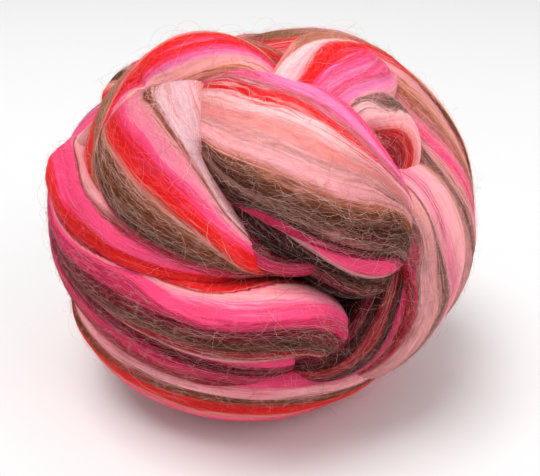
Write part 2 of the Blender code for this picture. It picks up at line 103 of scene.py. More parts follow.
# Each pass of the strand is a list of sections along its route. The columns:
#   turn    degrees round the bundle, 0 at its front and growing to its right
#   rise    degrees above the waist, 90 at the crown
#   sink    mm from the envelope in to the middle of the strand
#   wide    half the strand's width, mm
#   thick   half the strand's thickness, mm
PASSES = {
    "front_lobe": [
        (-44, 56, 42, 12, 11),
        (-29, 59, 27, 16, 13),
        (-15, 57, 13, 21, 17),
        (-1, 49, 10, 26, 19),
        (11, 41, 8, 29, 20),
        (21, 31, 9, 26, 18),
        (30, 21, 12, 21, 16),
        (37, 12, 18, 14, 13),
        (45, 3, 34, 9, 9),
    ],
    "front_ridge": [
        (-13, 38, 21, 4, 4),
        (-6, 32, 9, 5, 5),
        (2, 25, 6, 7, 6),
        (11, 19, 5, 7, 6),
        (20, 13, 5, 7, 6),
        (30, 10, 7, 7, 6),
        (38, 9, 14, 5, 5),
        (43, 10, 26, 4, 4),
    ],
    "front_under_roll": [
        (11, 14, 28, 7, 7),
        (18, 9, 18, 9, 9),
        (25, 5, 15, 10, 10),
        (32, 4, 16, 10, 10),
        (39, 6, 20, 9, 9),
        (46, 9, 30, 8, 8),
    ],
    "left_fan": [
        (-60, 63, 34, 14, 10),
        (-47, 58, 17, 18, 12),
        (-39, 51, 9, 22, 15),
        (-34, 43, 6, 25, 16),
        (-29, 35, 7, 24, 16),
        (-19, 26, 9, 20, 13),
        (-12, 20, 11, 15, 11),
        (-5, 15, 13, 10, 8),
        (1, 11, 17, 5, 5),
        (7, 7, 26, 3, 3),
    ],
    "left_loop": [
        (-38, 12, 32, 8, 8),
        (-48, 22, 17, 10, 10),
        (-57, 33, 14, 12, 12),
        (-66, 43, 14, 14, 13),
        (-75, 53, 13, 16, 14),
        (-75, 62, 11, 17, 14),
        (-55, 69, 7, 17, 14),
        (-22, 72, 9, 16, 13),
        (2, 68, 15, 13, 11),
        (18, 61, 30, 11, 9),
    ],
    "left_sliver": [
        (-112, 48, 32, 9, 8),
        (-94, 43, 21, 9, 9),
        (-80, 37, 14, 8, 8),
        (-71, 30, 10, 8, 8),
        (-65, 22, 10, 7, 7),
        (-58, 14, 13, 6, 6),
        (-51, 6, 25, 5, 5),
    ],
    "back_arch": [
        (-150, 58, 30, 15, 12),
        (-172, 69, 20, 17, 14),
        (140, 77, 14, 18, 14),
        (101, 69, 11, 18, 15),
        (87, 58, 11, 18, 15),
        (79, 46, 12, 18, 14),
        (73, 36, 13, 18, 14),
        (69, 24, 13, 18, 14),
        (67, 10, 14, 18, 14),
        (67, -4, 14, 17, 14),
        (68, -20, 14, 17, 14),
        (72, -38, 18, 16, 12),
        (78, -58, 32, 14, 10),
    ],
    "top_lobe": [
        (140, 50, 32, 15, 12),
        (114, 61, 17, 19, 14),
        (84, 66, 12, 24, 15),
        (50, 64, 9, 24, 15),
        (30, 59, 11, 22, 14),
        (16, 52, 18, 18, 12),
        (6, 45, 32, 14, 10),
    ],
    "top_hook": [
        (16, 47, 25, 8, 8),
        (27, 51, 12, 11, 9),
        (38, 53, 7, 12, 10),
        (47, 49, 6, 11, 10),
        (51, 42, 7, 9, 9),
        (48, 34, 12, 7, 8),
        (39, 30, 24, 6, 6),
    ],
    "right_fall": [
        (38, 40, 34, 10, 8),
        (44, 34, 22, 12, 10),
        (47, 26, 13, 16, 12),
        (48, 17, 10, 18, 13),
        (49, 6, 10, 19, 13),
        (49, -6, 11, 19, 13),
        (47, -20, 12, 18, 13),
        (42, -36, 16, 17, 12),
        (34, -54, 30, 14, 10),
    ],
    "left_nub": [
        (-168, 0, 30, 12, 10),
        (-146, 6, 16, 15, 12),
        (-122, 15, 14, 15, 13),
        (-102, 21, 18, 13, 12),
        (-89, 24, 18, 11, 11),
        (-78, 25, 12, 11, 11),
        (-69, 25, 7, 11, 11),
        (-61, 23, 6, 11, 11),
        (-51, 18, 9, 11, 11),
        (-40, 14, 11, 11, 10),
        (-29, 12, 12, 10, 10),
        (-18, 10, 14, 8, 8),
        (-8, 9, 17, 6, 6),
        (4, 8, 26, 5, 5),
    ],
    "left_low": [
        (-176, -18, 30, 13, 10),
        (-152, -12, 15, 16, 13),
        (-126, -5, 13, 17, 13),
        (-100, 0, 14, 15, 12),
        (-77, 0, 14, 13, 12),
        (-61, -5, 13, 13, 12),
        (-47, -11, 13, 14, 12),
        (-32, -16, 13, 14, 12),
        (-18, -21, 14, 14, 12),
        (-4, -26, 16, 13, 11),
        (8, -30, 22, 11, 10),
        (18, -34, 34, 9, 8),
    ],
    "front_bar": [
        (-132, 4, 30, 11, 9),
        (-112, 12, 15, 13, 11),
        (-92, 18, 13, 12, 11),
        (-76, 18, 11, 10, 10),
        (-65, 12, 10, 10, 10),
        (-50, 4, 11, 12, 11),
        (-35, -1, 11, 13, 12),
        (-20, -4, 11, 14, 13),
        (-8, -6, 11, 15, 14),
        (4, -6, 11, 15, 14),
        (13, -9, 14, 13, 12),
        (19, -16, 18, 11, 10),
        (22, -25, 30, 9, 8),
    ],
    "right_fan": [
        (46, 14, 32, 9, 9),
        (40, 6, 20, 10, 10),
        (36, -2, 16, 11, 11),
        (32, -11, 14, 12, 12),
        (27, -20, 14, 13, 12),
        (20, -28, 18, 13, 11),
        (11, -34, 27, 12, 10),
        (2, -38, 38, 10, 8),
    ],
    "crease_ribbon": [
        (-24, 54, 24, 5, 5),
        (-19, 45, 14, 6, 6),
        (-11, 34, 13, 6, 7),
        (-5, 24, 13, 7, 7),
        (0, 17, 13, 7, 7),
        (7, 13, 14, 6, 6),
        (14, 13, 16, 6, 6),
        (22, 16, 28, 4, 4),
    ],
    "crease_strand": [
        (-24, 44, 26, 6, 6),
        (-16, 38, 19, 8, 8),
        (-7, 29, 17, 10, 9),
        (2, 21, 16, 10, 9),
        (10, 17, 17, 10, 9),
        (18, 14, 21, 8, 8),
        (27, 13, 30, 6, 6),
    ],
    "left_side": [
        (-124, 74, 32, 15, 12),
        (-119, 62, 24, 18, 14),
        (-112, 46, 23, 20, 15),
        (-107, 28, 17, 20, 15),
        (-108, 10, 13, 18, 14),
        (-116, -8, 12, 18, 14),
        (-128, -24, 13, 17, 13),
        (-144, -38, 17, 16, 12),
        (-164, -48, 30, 13, 10),
    ],
    "right_back": [
        (172, 62, 30, 15, 12),
        (148, 56, 14, 19, 14),
        (124, 45, 11, 21, 15),
        (108, 31, 12, 21, 15),
        (98, 15, 13, 20, 15),
        (92, -2, 14, 19, 14),
        (88, -18, 15, 18, 13),
        (84, -34, 20, 16, 12),
        (80, -50, 32, 13, 10),
    ],
    "back_lobe": [
        (-137, 67, 34, 14, 11),
        (-153, 58, 20, 18, 13),
        (-174, 45, 11, 23, 17),
        (167, 30, 9, 24, 18),
        (150, 15, 9, 23, 17),
        (135, 0, 11, 20, 15),
        (122, -14, 16, 16, 12),
        (110, -24, 30, 12, 9),
    ],
    "back_left_fan": [
        (-106, 58, 28, 15, 12),
        (-118, 46, 12, 19, 14),
        (-130, 32, 10, 21, 15),
        (-143, 17, 10, 20, 15),
        (-158, 3, 11, 17, 13),
        (-174, -9, 15, 13, 10),
        (170, -18, 28, 9, 8),
    ],
    "back_low": [
        (-84, -12, 30, 14, 11),
        (-100, -18, 15, 17, 13),
        (-120, -22, 13, 18, 14),
        (-142, -25, 12, 20, 14),
        (-166, -27, 12, 21, 15),
        (170, -28, 12, 20, 14),
        (146, -26, 12, 19, 14),
        (124, -22, 13, 17, 13),
        (104, -16, 18, 15, 12),
        (88, -10, 30, 12, 10),
    ],
    "front_low": [
        (-136, -22, 30, 14, 11),
        (-116, -26, 15, 17, 13),
        (-96, -29, 13, 18, 13),
        (-76, -31, 12, 18, 13),
        (-54, -34, 12, 19, 14),
        (-30, -37, 12, 20, 14),
        (-4, -40, 13, 20, 14),
        (20, -42, 14, 19, 13),
        (44, -43, 16, 17, 12),
        (70, -46, 28, 14, 10),
    ],
    "right_low": [
        (142, 14, 30, 14, 11),
        (124, 2, 15, 18, 13),
        (108, -12, 13, 19, 14),
        (92, -26, 13, 19, 14),
        (72, -38, 14, 18, 13),
        (48, -46, 17, 16, 12),
        (22, -52, 30, 13, 10),
    ],
    "back_middle": [
        (-158, 54, 30, 15, 12),
        (-162, 38, 18, 18, 14),
        (-168, 22, 15, 20, 14),
        (-178, 6, 15, 20, 14),
        (168, -8, 16, 18, 13),
        (156, -20, 30, 14, 10),
    ],
    "crown_bridge": [
        (-126, 40, 30, 14, 11),
        (-132, 56, 19, 17, 13),
        (-138, 72, 17, 19, 13),
        (-60, 84, 16, 19, 13),
        (24, 78, 19, 16, 12),
        (44, 68, 30, 13, 10),
    ],
    "base_left": [
        (10, -50, 30, 14, 10),
        (-24, -50, 15, 18, 12),
        (-62, -50, 14, 19, 13),
        (-100, -50, 14, 19, 13),
        (-140, -50, 14, 19, 13),
        (180, -48, 15, 18, 12),
        (150, -44, 30, 14, 10),
    ],
    "base_right": [
        (-60, -60, 30, 14, 10),
        (-14, -56, 16, 18, 12),
        (30, -54, 15, 19, 13),
        (72, -53, 14, 19, 13),
        (112, -50, 14, 19, 13),
        (150, -52, 15, 18, 12),
        (-168, -60, 30, 14, 10),
    ],
    "under_across": [
        (78, -56, 30, 20, 10),
        (80, -72, 14, 30, 13),
        (-100, -88, 12, 32, 13),
        (-100, -70, 14, 30, 13),
        (-102, -56, 30, 20, 10),
    ],
    "under_along": [
        (-6, -56, 32, 20, 10),
        (-4, -72, 15, 30, 13),
        (172, -86, 14, 32, 13),
        (174, -70, 15, 30, 13),
        (176, -54, 32, 20, 10),
    ],
}

# A tucked-in end that shows inside the hook, with the passes' columns.
HOOK_CORE = [
    (35, 48, 22, 5, 5),
    (41, 44, 10, 8, 7),
    (45, 38, 10, 8, 7),
    (42, 31, 24, 5, 5),
]

# Dyes, as red, green and blue of 255.
DYES = {
    "hot": (255, 78, 130),
    "violet": (255, 128, 182),
    "magenta": (200, 42, 88),
    "red": (232, 30, 32),
    "ruby": (204, 46, 50),
    "crimson": (150, 20, 32),
    "salmon": (242, 142, 137),
    "peach": (250, 170, 148),
    "pale": (254, 172, 178),
    "white": (255, 208, 216),
    "undyed": (252, 214, 200),
    "cream": (255, 192, 194),
    "blush": (236, 160, 158),
    "fawn": (214, 146, 130),
    "rose": (252, 140, 166),
    "dusk": (198, 100, 112),
    "mauve": (212, 144, 144),
    "taupe": (164, 114, 82),
    "ash": (130, 88, 78),
    "rust": (188, 108, 82),
    "brown": (118, 62, 34),
    "bark": (86, 44, 28),
    "wine": (112, 16, 36),
    # Umber is painted shade, for wool deep in creases, hollows and pockets.
    "shade_umber": (44, 12, 8),
}

# The stripes of each pass, in hundredths. The first row holds stations, by how far
# along the pass they are. Each row after it is one stripe, from the left-hand side
# of the run to the right-hand side: its dye, then at each station where its
# right-hand border lies, 0 at the pass's left-hand shoulder and 100 at its right.
# The last stripe goes on round the pass.
STRIPES = {
    # The darkest stripes along its right-hand edge and round its underside are painted crease shade.
    "front_lobe": [
        (25, 30, 35, 40, 45, 50, 55, 60, 65, 70, 75, 80),
        ("hot", 5, 10, 15, 20, 22, 25, 25, 27, 27, 24, 20, 20),
        ("violet", 30, 33, 34, 34, 34, 34, 32, 30, 28.5, 26, 23, 24),
        ("hot", 42, 36, 34.5, 34.2, 34.2, 34.2, 32.2, 30.2, 28.7, 26.2, 23.2, 24.2),
        ("dusk", 45, 42, 38.5, 38, 38, 39, 37, 35, 33, 32, 25, 26),
        ("red", 55, 50, 48, 46, 45, 44, 41, 36.5, 33.5, 32.5, 25.5, 26.5),
        ("cream", 65, 61, 54.5, 51, 50, 49, 46, 42, 37, 35, 30, 30),
        ("salmon", 72, 67, 61, 58, 55.5, 54, 51, 47, 41, 38.5, 33, 32),
        ("mauve", 80, 72, 67, 64, 61, 59.5, 55.5, 51.5, 45, 44, 37, 35),
        ("pale", 85, 78, 75, 70, 67, 64.5, 61.5, 57, 50.5, 45.7, 38.6, 37.2),
        ("rust", 87, 80, 76.5, 73, 70, 67.5, 64.5, 61, 56, 51, 44, 42),
        ("brown", 90, 84, 79, 79, 75, 73.5, 71, 67.5, 62, 57, 48, 46),
        ("bark", 93, 86, 81, 83, 81, 80, 77, 74, 70, 66, 58, 51),
        ("ash", 94, 87, 82, 84, 83.5, 84, 82, 80, 77.5, 72, 66, 57),
        ("shade_umber", 99, 99, 99, 98.5, 97.5, 88, 85, 83, 79.5, 74, 68, 58),
        ("magenta", 100, 100, 100, 100, 99, 96, 95, 120, 120, 120, 120, 120),
        ("shade_umber",),
    ],
    # The dark colour round its underside is painted crease shade.
    "front_ridge": [
        (25, 40, 55, 75),
        ("hot", 38, 50, 58, 74),
        ("mauve", 42, 56, 65, 80),
        ("shade_umber",),
    ],
    # Its dark reds and browns are the wool's own, darkened to near black as painted shade of the crease it
    # lies in.
    "front_under_roll": [
        (30, 70),
        ("wine", 40, 52),
        ("bark", 55, 65),
        ("wine", 65, 72),
        ("shade_umber",),
    ],
    "left_fan": [
        (25, 30, 35, 40, 45, 50, 55, 60, 66, 72, 78, 85),
        ("blush", 34, 30, 21, 18, 18, 19, 20, 22, 24, 22, 20, 20),
        ("white", 50, 47.5, 41.5, 33, 27.5, 26.5, 26.5, 26.5, 27, 26, 24, 22),
        ("rust", 51.5, 49, 43, 34.5, 29, 28, 28, 27.5, 28, 27, 25, 23),
        ("brown", 54, 51.5, 45, 36, 30.5, 29.5, 29, 28.5, 28.5, 28, 26, 24),
        ("rust", 55.5, 52.5, 46.5, 37, 32, 30.5, 30, 29, 29, 28.5, 27, 25),
        ("blush", 60, 57.5, 49.5, 40, 34, 33, 31.5, 30, 29.5, 29, 28, 26),
        ("rose", 66, 64, 57, 49, 43, 42, 39, 37, 34.5, 33, 33, 30),
        ("hot", 74, 70, 64.5, 53, 47.5, 46.5, 44.5, 43.5, 41, 38.5, 37.5, 36),
        ("red", 84, 82, 76, 66.5, 57.5, 56.5, 53.5, 52.5, 51, 50.5, 53, 62),
        ("fawn", 86, 84, 79, 72, 62, 61, 59, 56.5, 54, 51.5, 53.5, 62.5),
        ("brown", 92, 90, 88, 82, 78, 76, 72, 70, 66, 64, 60, 64),
        ("bark", 98, 96, 93, 88, 87, 85, 81, 78, 75, 73, 66, 66),
        ("crimson", 99, 97, 95, 90, 88, 86, 84, 82, 80, 78, 76, 72),
        ("magenta",),
    ],
    "left_loop": [
        (22, 27, 33, 38, 43, 49, 55, 61, 67, 72, 77, 82),
        ("salmon", 50, 42, 36, 32, 28, 22, 18, 14, 10, 10, 10, 10),
        ("red", 50.5, 56, 46, 40, 38, 30, 25, 20, 16, 15, 15, 15),
        ("taupe", 59, 56.5, 57, 56, 56, 51, 45, 40, 36, 33, 31, 29),
        ("salmon", 60, 58, 61, 59.5, 60, 55, 54, 50, 42, 36, 33, 30),
        ("red", 66, 64, 62, 64, 68, 77.5, 77.5, 76, 68, 55, 47, 36),
        ("hot", 68, 66, 63, 66, 69, 80, 84, 83, 72, 58, 50, 38),
        ("violet", 72, 70, 67, 70, 72, 81, 84.5, 84, 79, 68, 55, 42),
        ("pale", 78, 77, 75, 78, 75, 81.5, 85, 90, 93, 80, 66, 50),
        ("peach", 80, 79, 77, 80, 76, 82, 86, 92, 95, 85, 72, 55),
        ("rust", 84, 83, 82, 83, 82, 86, 90, 95, 97, 92, 79, 62),
        ("rose",),
    ],
    "left_sliver": [
        (20, 80),
        ("mauve", 45, 35),
        ("cream", 65, 60),
        ("taupe", 80, 75),
        ("hot",),
    ],
    "back_arch": [
        (18, 25, 30, 35, 40, 45, 50, 55, 60, 65, 72),
        ("blush", 56, 52, 50, 36, 30, 25, 20, 15, 10, 5, 0),
        ("taupe", 82, 70, 62, 43, 35, 30, 25, 20, 15, 10, 5),
        ("red", 98, 85, 76, 64, 41.5, 35, 30, 25, 20, 15, 10),
        ("pale", 100, 87, 78, 69, 61, 46, 40, 35, 28, 22, 15),
        ("peach", 102, 89, 80, 72, 71, 60, 52, 45, 36, 28, 20),
        ("rust", 103, 91, 84, 80, 79, 75, 66, 50, 40, 32, 25),
        ("blush", 104, 93, 87, 83, 82, 79, 68, 51, 41, 33, 26),
        ("rose", 105, 95, 89, 86, 86, 85, 74, 57, 45, 36, 28),
        ("hot", 106, 97, 92, 90, 90, 90, 82, 71, 52, 42, 32),
        ("blush", 108, 100, 95, 94, 94, 94, 86, 76, 60, 48, 36),
        ("ash", 112, 105, 100, 98, 97, 96, 90, 84, 68, 57, 45),
        ("mauve",),
    ],
    "top_lobe": [
        (47, 52, 57, 62, 68, 74),
        ("pale", 20, 14, 12, 14, 16, 18),
        ("blush", 22, 17, 18, 24, 26, 28),
        ("violet", 25, 24, 28, 34, 40, 43),
        ("dusk", 26, 25, 29, 35, 41, 44),
        ("hot", 30, 28, 32, 37, 42.5, 45),
        ("violet", 31, 31, 33, 37.5, 43, 45.5),
        ("hot", 37, 37, 37, 39, 44, 46.5),
        ("dusk", 37.5, 37.5, 38, 40.5, 45.5, 48),
        ("violet", 38, 38, 40, 45, 50, 51),
        ("hot", 44, 46, 47, 50, 53.5, 54.5),
        ("red", 49, 53, 60, 61.5, 61, 60),
        ("pale", 49.5, 53.5, 64, 65, 65, 66),
        ("cream", 50, 54, 66, 75, 80, 84),
        ("rust", 84, 84, 83, 76, 81, 85),
        ("salmon",),
    ],
    "top_hook": [
        (35, 40, 44, 47, 50, 53, 57, 62, 67, 72, 77),
        ("violet", 55, 53, 42, 36, 30, 30, 28, 25, 20, 20, 20),
        ("blush", 56, 54, 53, 47, 34, 32, 30, 28, 25, 25, 25),
        ("ash", 56.4, 54.4, 53.4, 57, 70, 72, 50, 32, 28, 28, 28),
        ("cream", 90, 85, 78, 72, 71, 73, 51, 34, 29, 29, 29),
        ("pale", 100, 98, 92, 88, 84, 82, 70, 58, 46, 42, 40),
        ("salmon", 105, 102, 100, 98, 93, 88, 80, 68, 55, 50, 48),
        ("ruby", 110, 108, 106, 104, 100, 97, 92, 84, 74, 66, 62),
        ("crimson", 115, 113, 112, 110, 108, 106, 104, 98, 88, 76, 72),
        ("wine",),
    ],
    "right_fall": [
        (20, 26, 31, 36, 41, 46, 52),
        ("fawn", 36, 37, 36, 33, 30, 25, 20),
        ("pale", 49, 53, 53, 51.5, 47, 41, 33),
        ("rose", 58, 58.5, 59, 57, 53.5, 48, 40),
        ("pale", 63, 62.5, 63.5, 60.5, 55.5, 49.5, 42),
        ("ash", 63.5, 63.5, 64.5, 66, 66, 62, 54),
        ("blush", 74, 74, 72, 72, 70, 66, 60),
        ("mauve", 76, 75, 74.5, 83, 83, 80, 77),
        ("ash", 80, 86, 85, 84, 83.5, 80.5, 77.5),
        ("magenta", 90, 88, 90, 97, 84.5, 81, 78),
        ("crimson",),
    ],
    "left_nub": [
        (55, 60, 65, 70, 77, 88),
        ("pale", 13, 8, 16, 17, 20, 25),
        ("mauve", 14, 12, 21, 22, 26, 30),
        ("crimson", 14.5, 12.5, 22, 27, 36, 40),
        ("hot", 48, 42, 51, 48, 52, 51),
        ("red", 80, 80, 80, 70, 68, 72),
        ("magenta", 100, 100, 96, 90, 88, 86),
        ("brown",),
    ],
    # Its wine, magenta and crimson are darker than the wool's own reds: partly painted shade.
    "left_low": [
        (30, 70),
        ("hot", 25, 28),
        ("wine", 38, 40),
        ("magenta", 50, 52),
        ("crimson", 62, 66),
        ("brown", 78, 80),
        ("red",),
    ],
    # Its magenta and wine are darker than the wool's own: partly painted shade.
    "front_bar": [
        (40, 47, 54, 60, 66, 72, 78, 83, 88),
        ("red", 38, 30, 12, 6, 12, 10, 4, -5, -10),
        ("crimson", 40, 32, 22, 10, 14, 11, 5, -4, -5),
        ("blush", 41, 32.5, 22.5, 11, 15, 12.5, 12, 10, 2),
        ("rose", 42, 33, 23, 12, 18, 17, 20, 20, 10),
        ("hot", 44, 36, 26, 20, 36, 38, 34, 30, 20),
        ("magenta", 60, 52, 44, 42, 42, 42, 40, 38, 36),
        ("wine", 66, 62, 56, 52, 50, 48, 46, 46, 50),
        ("bark", 80, 75, 68, 62, 60, 58, 56, 56, 58),
        ("crimson", 88, 85, 80, 76, 74, 72, 70, 68, 68),
        ("mauve",),
    ],
    # The wool here is dyed darker than it is, with umber stripes: painted shade over its own magenta and
    # crimson.
    "right_fan": [
        (25, 45, 75),
        ("wine", 40, 36, 30),
        ("magenta", 50, 47, 44),
        ("shade_umber", 58, 58, 58),
        ("crimson", 68, 70, 72),
        ("shade_umber", 80, 82, 82),
        ("wine", 92, 92, 92),
        ("shade_umber",),
    ],
    # Its dyes are darkened into the crease: painted shade over its own crimson and magenta.
    "crease_ribbon": [
        (45, 60, 75),
        ("shade_umber", 42, 44, 46),
        ("wine", 58, 54, 52),
        ("magenta", 72, 74, 76),
        ("crimson",),
    ],
    # Its umber stripes are painted crease shade; the brown and crimson are its own.
    "crease_strand": [
        (30, 70),
        ("shade_umber", 40, 40),
        ("brown", 52, 55),
        ("crimson", 66, 66),
        ("shade_umber",),
    ],
    "left_side": [
        (10, 50, 90),
        ("pale", 20, 10, 5),
        ("hot", 36, 28, 20),
        ("violet", 42, 34, 28),
        ("brown", 50, 42, 34),
        ("red", 68, 62, 54),
        ("cream", 78, 72, 62),
        ("taupe", 90, 84, 76),
        ("hot",),
    ],
    "right_back": [
        (10, 50, 90),
        ("taupe", 16, 22, 20),
        ("cream", 26, 34, 32),
        ("hot", 42, 50, 46),
        ("red", 56, 60, 62),
        ("peach", 66, 68, 72),
        ("brown", 78, 80, 84),
        ("pale",),
    ],
    "back_lobe": [
        (10, 40, 70, 90),
        ("hot", 20, 24, 20, 16),
        ("violet", 28, 32, 28, 22),
        ("brown", 32, 38, 33, 28),
        ("red", 44, 48, 44, 36),
        ("cream", 50, 54, 52, 44),
        ("salmon", 60, 62, 62, 54),
        ("mauve", 68, 70, 68, 62),
        ("taupe", 80, 84, 78, 72),
        ("pale",),
    ],
    "back_left_fan": [
        (10, 50, 90),
        ("red", 26, 20, 12),
        ("peach", 32, 26, 18),
        ("brown", 44, 42, 36),
        ("mauve", 50, 50, 46),
        ("hot", 66, 66, 64),
        ("cream", 76, 78, 76),
        ("taupe",),
    ],
    "back_low": [
        (10, 50, 90),
        ("brown", 16, 20, 14),
        ("red", 34, 36, 30),
        ("salmon", 40, 42, 38),
        ("pale", 50, 52, 50),
        ("hot", 66, 66, 68),
        ("taupe", 80, 82, 82),
        ("magenta",),
    ],
    "front_low": [
        (10, 40, 70, 90),
        ("hot", 14, 10, 14, 16),
        ("pale", 22, 20, 24, 28),
        ("brown", 28, 30, 32, 36),
        ("red", 44, 46, 46, 50),
        ("salmon", 50, 52, 53, 56),
        ("hot", 70, 68, 72, 74),
        ("taupe", 84, 82, 84, 84),
        ("mauve",),
    ],
    "right_low": [
        (10, 50, 90),
        ("pale", 18, 24, 20),
        ("hot", 36, 40, 38),
        ("red", 50, 52, 54),
        ("brown", 62, 64, 66),
        ("cream", 74, 74, 76),
        ("mauve",),
    ],
    "back_middle": [
        (10, 90),
        ("violet", 30, 20),
        ("red", 55, 48),
        ("cream", 70, 64),
        ("brown",),
    ],
    "crown_bridge": [
        (20, 60, 80),
        ("brown", 30, 26, 20),
        ("hot", 38, 33, 28),
        ("rust", 48, 42, 38),
        ("red", 60, 55, 52),
        ("brown", 76, 72, 70),
        ("mauve",),
    ],
    "base_left": [
        (10, 90),
        ("red", 28, 20),
        ("mauve", 42, 36),
        ("hot", 62, 60),
        ("taupe", 78, 78),
        ("pale",),
    ],
    "base_right": [
        (10, 90),
        ("pale", 22, 28),
        ("brown", 36, 42),
        ("hot", 58, 64),
        ("red", 76, 82),
        ("mauve",),
    ],
    "under_across": [
        (10, 90),
        ("hot", 30, 30),
        ("pale", 50, 50),
        ("brown", 66, 66),
        ("red",),
    ],
    "under_along": [
        (10, 90),
        ("mauve", 30, 30),
        ("red", 56, 56),
        ("taupe", 70, 70),
        ("hot",),
    ],
    "hook_core": [
        (20, 80),
        ("ruby", 50, 40),
        ("crimson",),
    ],
    # The inner body's dark dyes are painted shade: it shows only in the pockets between passes.
    "inner_body": [
        (0, 100),
        ("crimson", 20, 20),
        ("shade_umber", 40, 40),
        ("magenta", 50, 50),
        ("shade_umber", 70, 70),
        ("crimson", 80, 80),
        ("shade_umber",),
    ],
}

# The least share that a stripe keeps, how far one blends into the next, the rows
# over which the borders' bends are eased, and the places that the stripes span.
THIN_STRIPE = 0.004
STRIPE_BLEND = 0.015
EASE_ROWS = 2
STRAND_SPAN = (-0.4, 1.3)

# The wool's noises, with the fibres' crimp first. The columns: how many cross a
# pass, how many follow each other in a tenth of a metre, their detail, the two
# levels of noise that they are measured between, and what they are worth there.
CRIMP = (34.0, 17.0, 1.0, 0.25, 0.75, -0.006, 0.006)
NOISES = {
    "wander": (5.0, 2.2, 2.0, 0.3, 0.7, -0.012, 0.012),
    "feather": (110.0, 6.0, 3.0, 0.3, 0.7, -0.015, 0.015),
    "streak": (44.0, 2.6, 1.0, 0.3, 0.7, -0.008, 0.008),
    "strayed": (9.0, 1.6, 1.0, 0.3, 0.7, -0.11, 0.11),
    "among": (96.0, 4.2, 2.0, 0.47, 0.62, 0.0, 0.72),
    "clump": (26.0, 2.6, 2.0, 0.3, 0.7, 0.93, 1.06),
    "fibre": (76.0, 14.0, 2.0, 0.3, 0.7, 0.74, 1.18),
    "fine": (130.0, 27.0, 2.0, 0.3, 0.7, 0.76, 1.20),
    "fade": (14.0, 7.0, 1.0, 0.36, 0.62, 0.15, 1.0),
}
# How much fibres stand out, and how pale the pale ones are, between two levels of
# red, and how deep the painted shade tint of a crease is, between two of openness.
CONTRAST = (0.15, 0.85, 1.5, 0.36)
PALENESS = (0.03, 0.25, 0.12, 0.5)
PAINTED_TINT_STRENGTH = (0.1, 0.85, 0.8, 0.0)
# How open a pass's own grooves and ridges are, which sets their painted shade: in
# between, for each mm of height, at least and at most.
RIDGE_OPENNESS = (0.8, 0.22, 0.45, 1.1)
# Pale lines. The columns: how far they lean across the strand in a tenth of a
# metre, how many cross it, how often they turn in that length, and how strong.
PALE_LINES = [
    (0.0, 46.0, 7.0, 0.42),
    (0.26, 28.0, 6.0, 0.34),
    (-0.30, 26.0, 6.5, 0.34),
]
# The level of noise at which a pale line ends, and its strength deep in a crease,
# where it is dimmed with the painted shade.
PALE_LINE_EDGE = 0.034
PALE_IN_CREASE = 0.25
# The bumps of the surface: their strength and metres of height, and how much of
# them the coarse fibres, the fine ones and the pale lines make.
BUMPS = (0.45, 0.0004)
BUMP_SHARES = (0.6, 0.3, 0.35)

# How far fibres turn from the way that the wool runs, in radians, and the least
# and the most that they take on a paler dye.
TURN_AND_PALENESS = {
    "stray_fibres": (0.22, 0.05, 0.95),
    "cross_fibres": (0.9, 0.1, 0.9),
    "fuzz": (1.1, 0.1, 0.5),
    "flying_fibres": (1.0, 0.15, 0.6),
}
LAID_PALENESS = (0.0, 0.75)
# Fibres. The columns: how many, points along each, mm long at least and at
# most, and mm thick.
LAID_FIBRES = (6200, 13, 9.0, 26.0, 0.085)
STRAY_FIBRES = (5400, 20, 5.0, 15.0, 0.07)
CROSS_FIBRES = (3200, 20, 4.0, 11.0, 0.06)
FUZZ_FIBRES = (8000, 6, 2.5, 7.0, 0.06)
FLYING_FIBRES = (1200, 12, 8.0, 26.0, 0.07)
# How far a laid fibre lies from its place, drifts and sways across the strand, as
# shares of its width, the radians that the sway goes on at each point, the mm that
# it lies above the wool at most, and the share of its least length that it keeps.
LAID_SPREAD = 0.02
LAID_DRIFT = 0.022
LAID_SWAY = (0.003, 0.010)
LAID_PACE = (0.8, 2.0)
LAID_ABOVE = 0.12
LAID_LEAST = 0.7
# The others' crimp: radians of turn at each point, mm from bend to bend, and the
# most radians that it goes on at each point. How far they curl in all, the mm that
# they lie above the wool, how many times they are evened out over it, the mm that
# they may then sink, and the mm that they stand clear of it where they bridge a
# crease, at most.
CRIMP_TURN = (0.15, 0.65)
CRIMP_STEP = (2.2, 4.5)
CRIMP_PACE = 1.9
CURL = 0.9
LIE_ABOVE = (0.05, 0.5)
EASE_PASSES = 6
SINK_LEAST = 0.05
BRIDGE = 9.0
# The mm that the end of a short fibre stands off the wool, and the least and the
# most that a flying one does.
LIFTED = (0.2, 1.6)
ARCHED = (0.4, 6.5)
# The share of them that is kept, by how red the wool is: the reds, then the
# shares. Brown wool is matted, and the bright wool lies smooth.
BROWN_MATTED = ((0.35, 0.80), (1.0, 0.25))
EVEN = ((0.0, 1.0), (0.6, 0.6))
LAID_SHARES = ((0.35, 0.80), (1.0, 0.40))
# How far fibres take on the paler dye, by how red the wool is, in the same way.
EVEN_SHARES = ((0.0, 1.0), (1.0, 1.0))
PALE_OVER_BROWN = ((0.03, 0.18, 0.45, 0.80), (0.35, 0.9, 0.9, 0.40))

# Degrees between the rays that find the outermost surface, how often it is evened
# out and over how many rays, the mm below it from which a crease gets painted shade,
# until it is deep, and the painted light and tint that are left there.
SCAN_STEP = 0.75
CREASE_PASSES = 10
CREASE_WINDOW = 5
CREASE_START = 2.6
CREASE_DEPTH = 9.0
PAINTED_CREASE_LIGHT = 0.26
PAINTED_CREASE_TINT = (0.55, 0.14, 0.16)
# Fibres take on that painted shade tint where the wool is less open than this, up to this much.
CREASE_OPEN = 0.9
CREASE_FULL = 0.8

# The camera: metres from the point that it is set from, that point's height,
# degrees above it, degrees that it looks down, and its lens.
CAMERA_FAR = 0.390
CAMERA_AIM = 0.062
CAMERA_HIGH = 26.5
CAMERA_TILT = 25.53
CAMERA_LENS = 55.4
CAMERA_SHIFT = 0.013


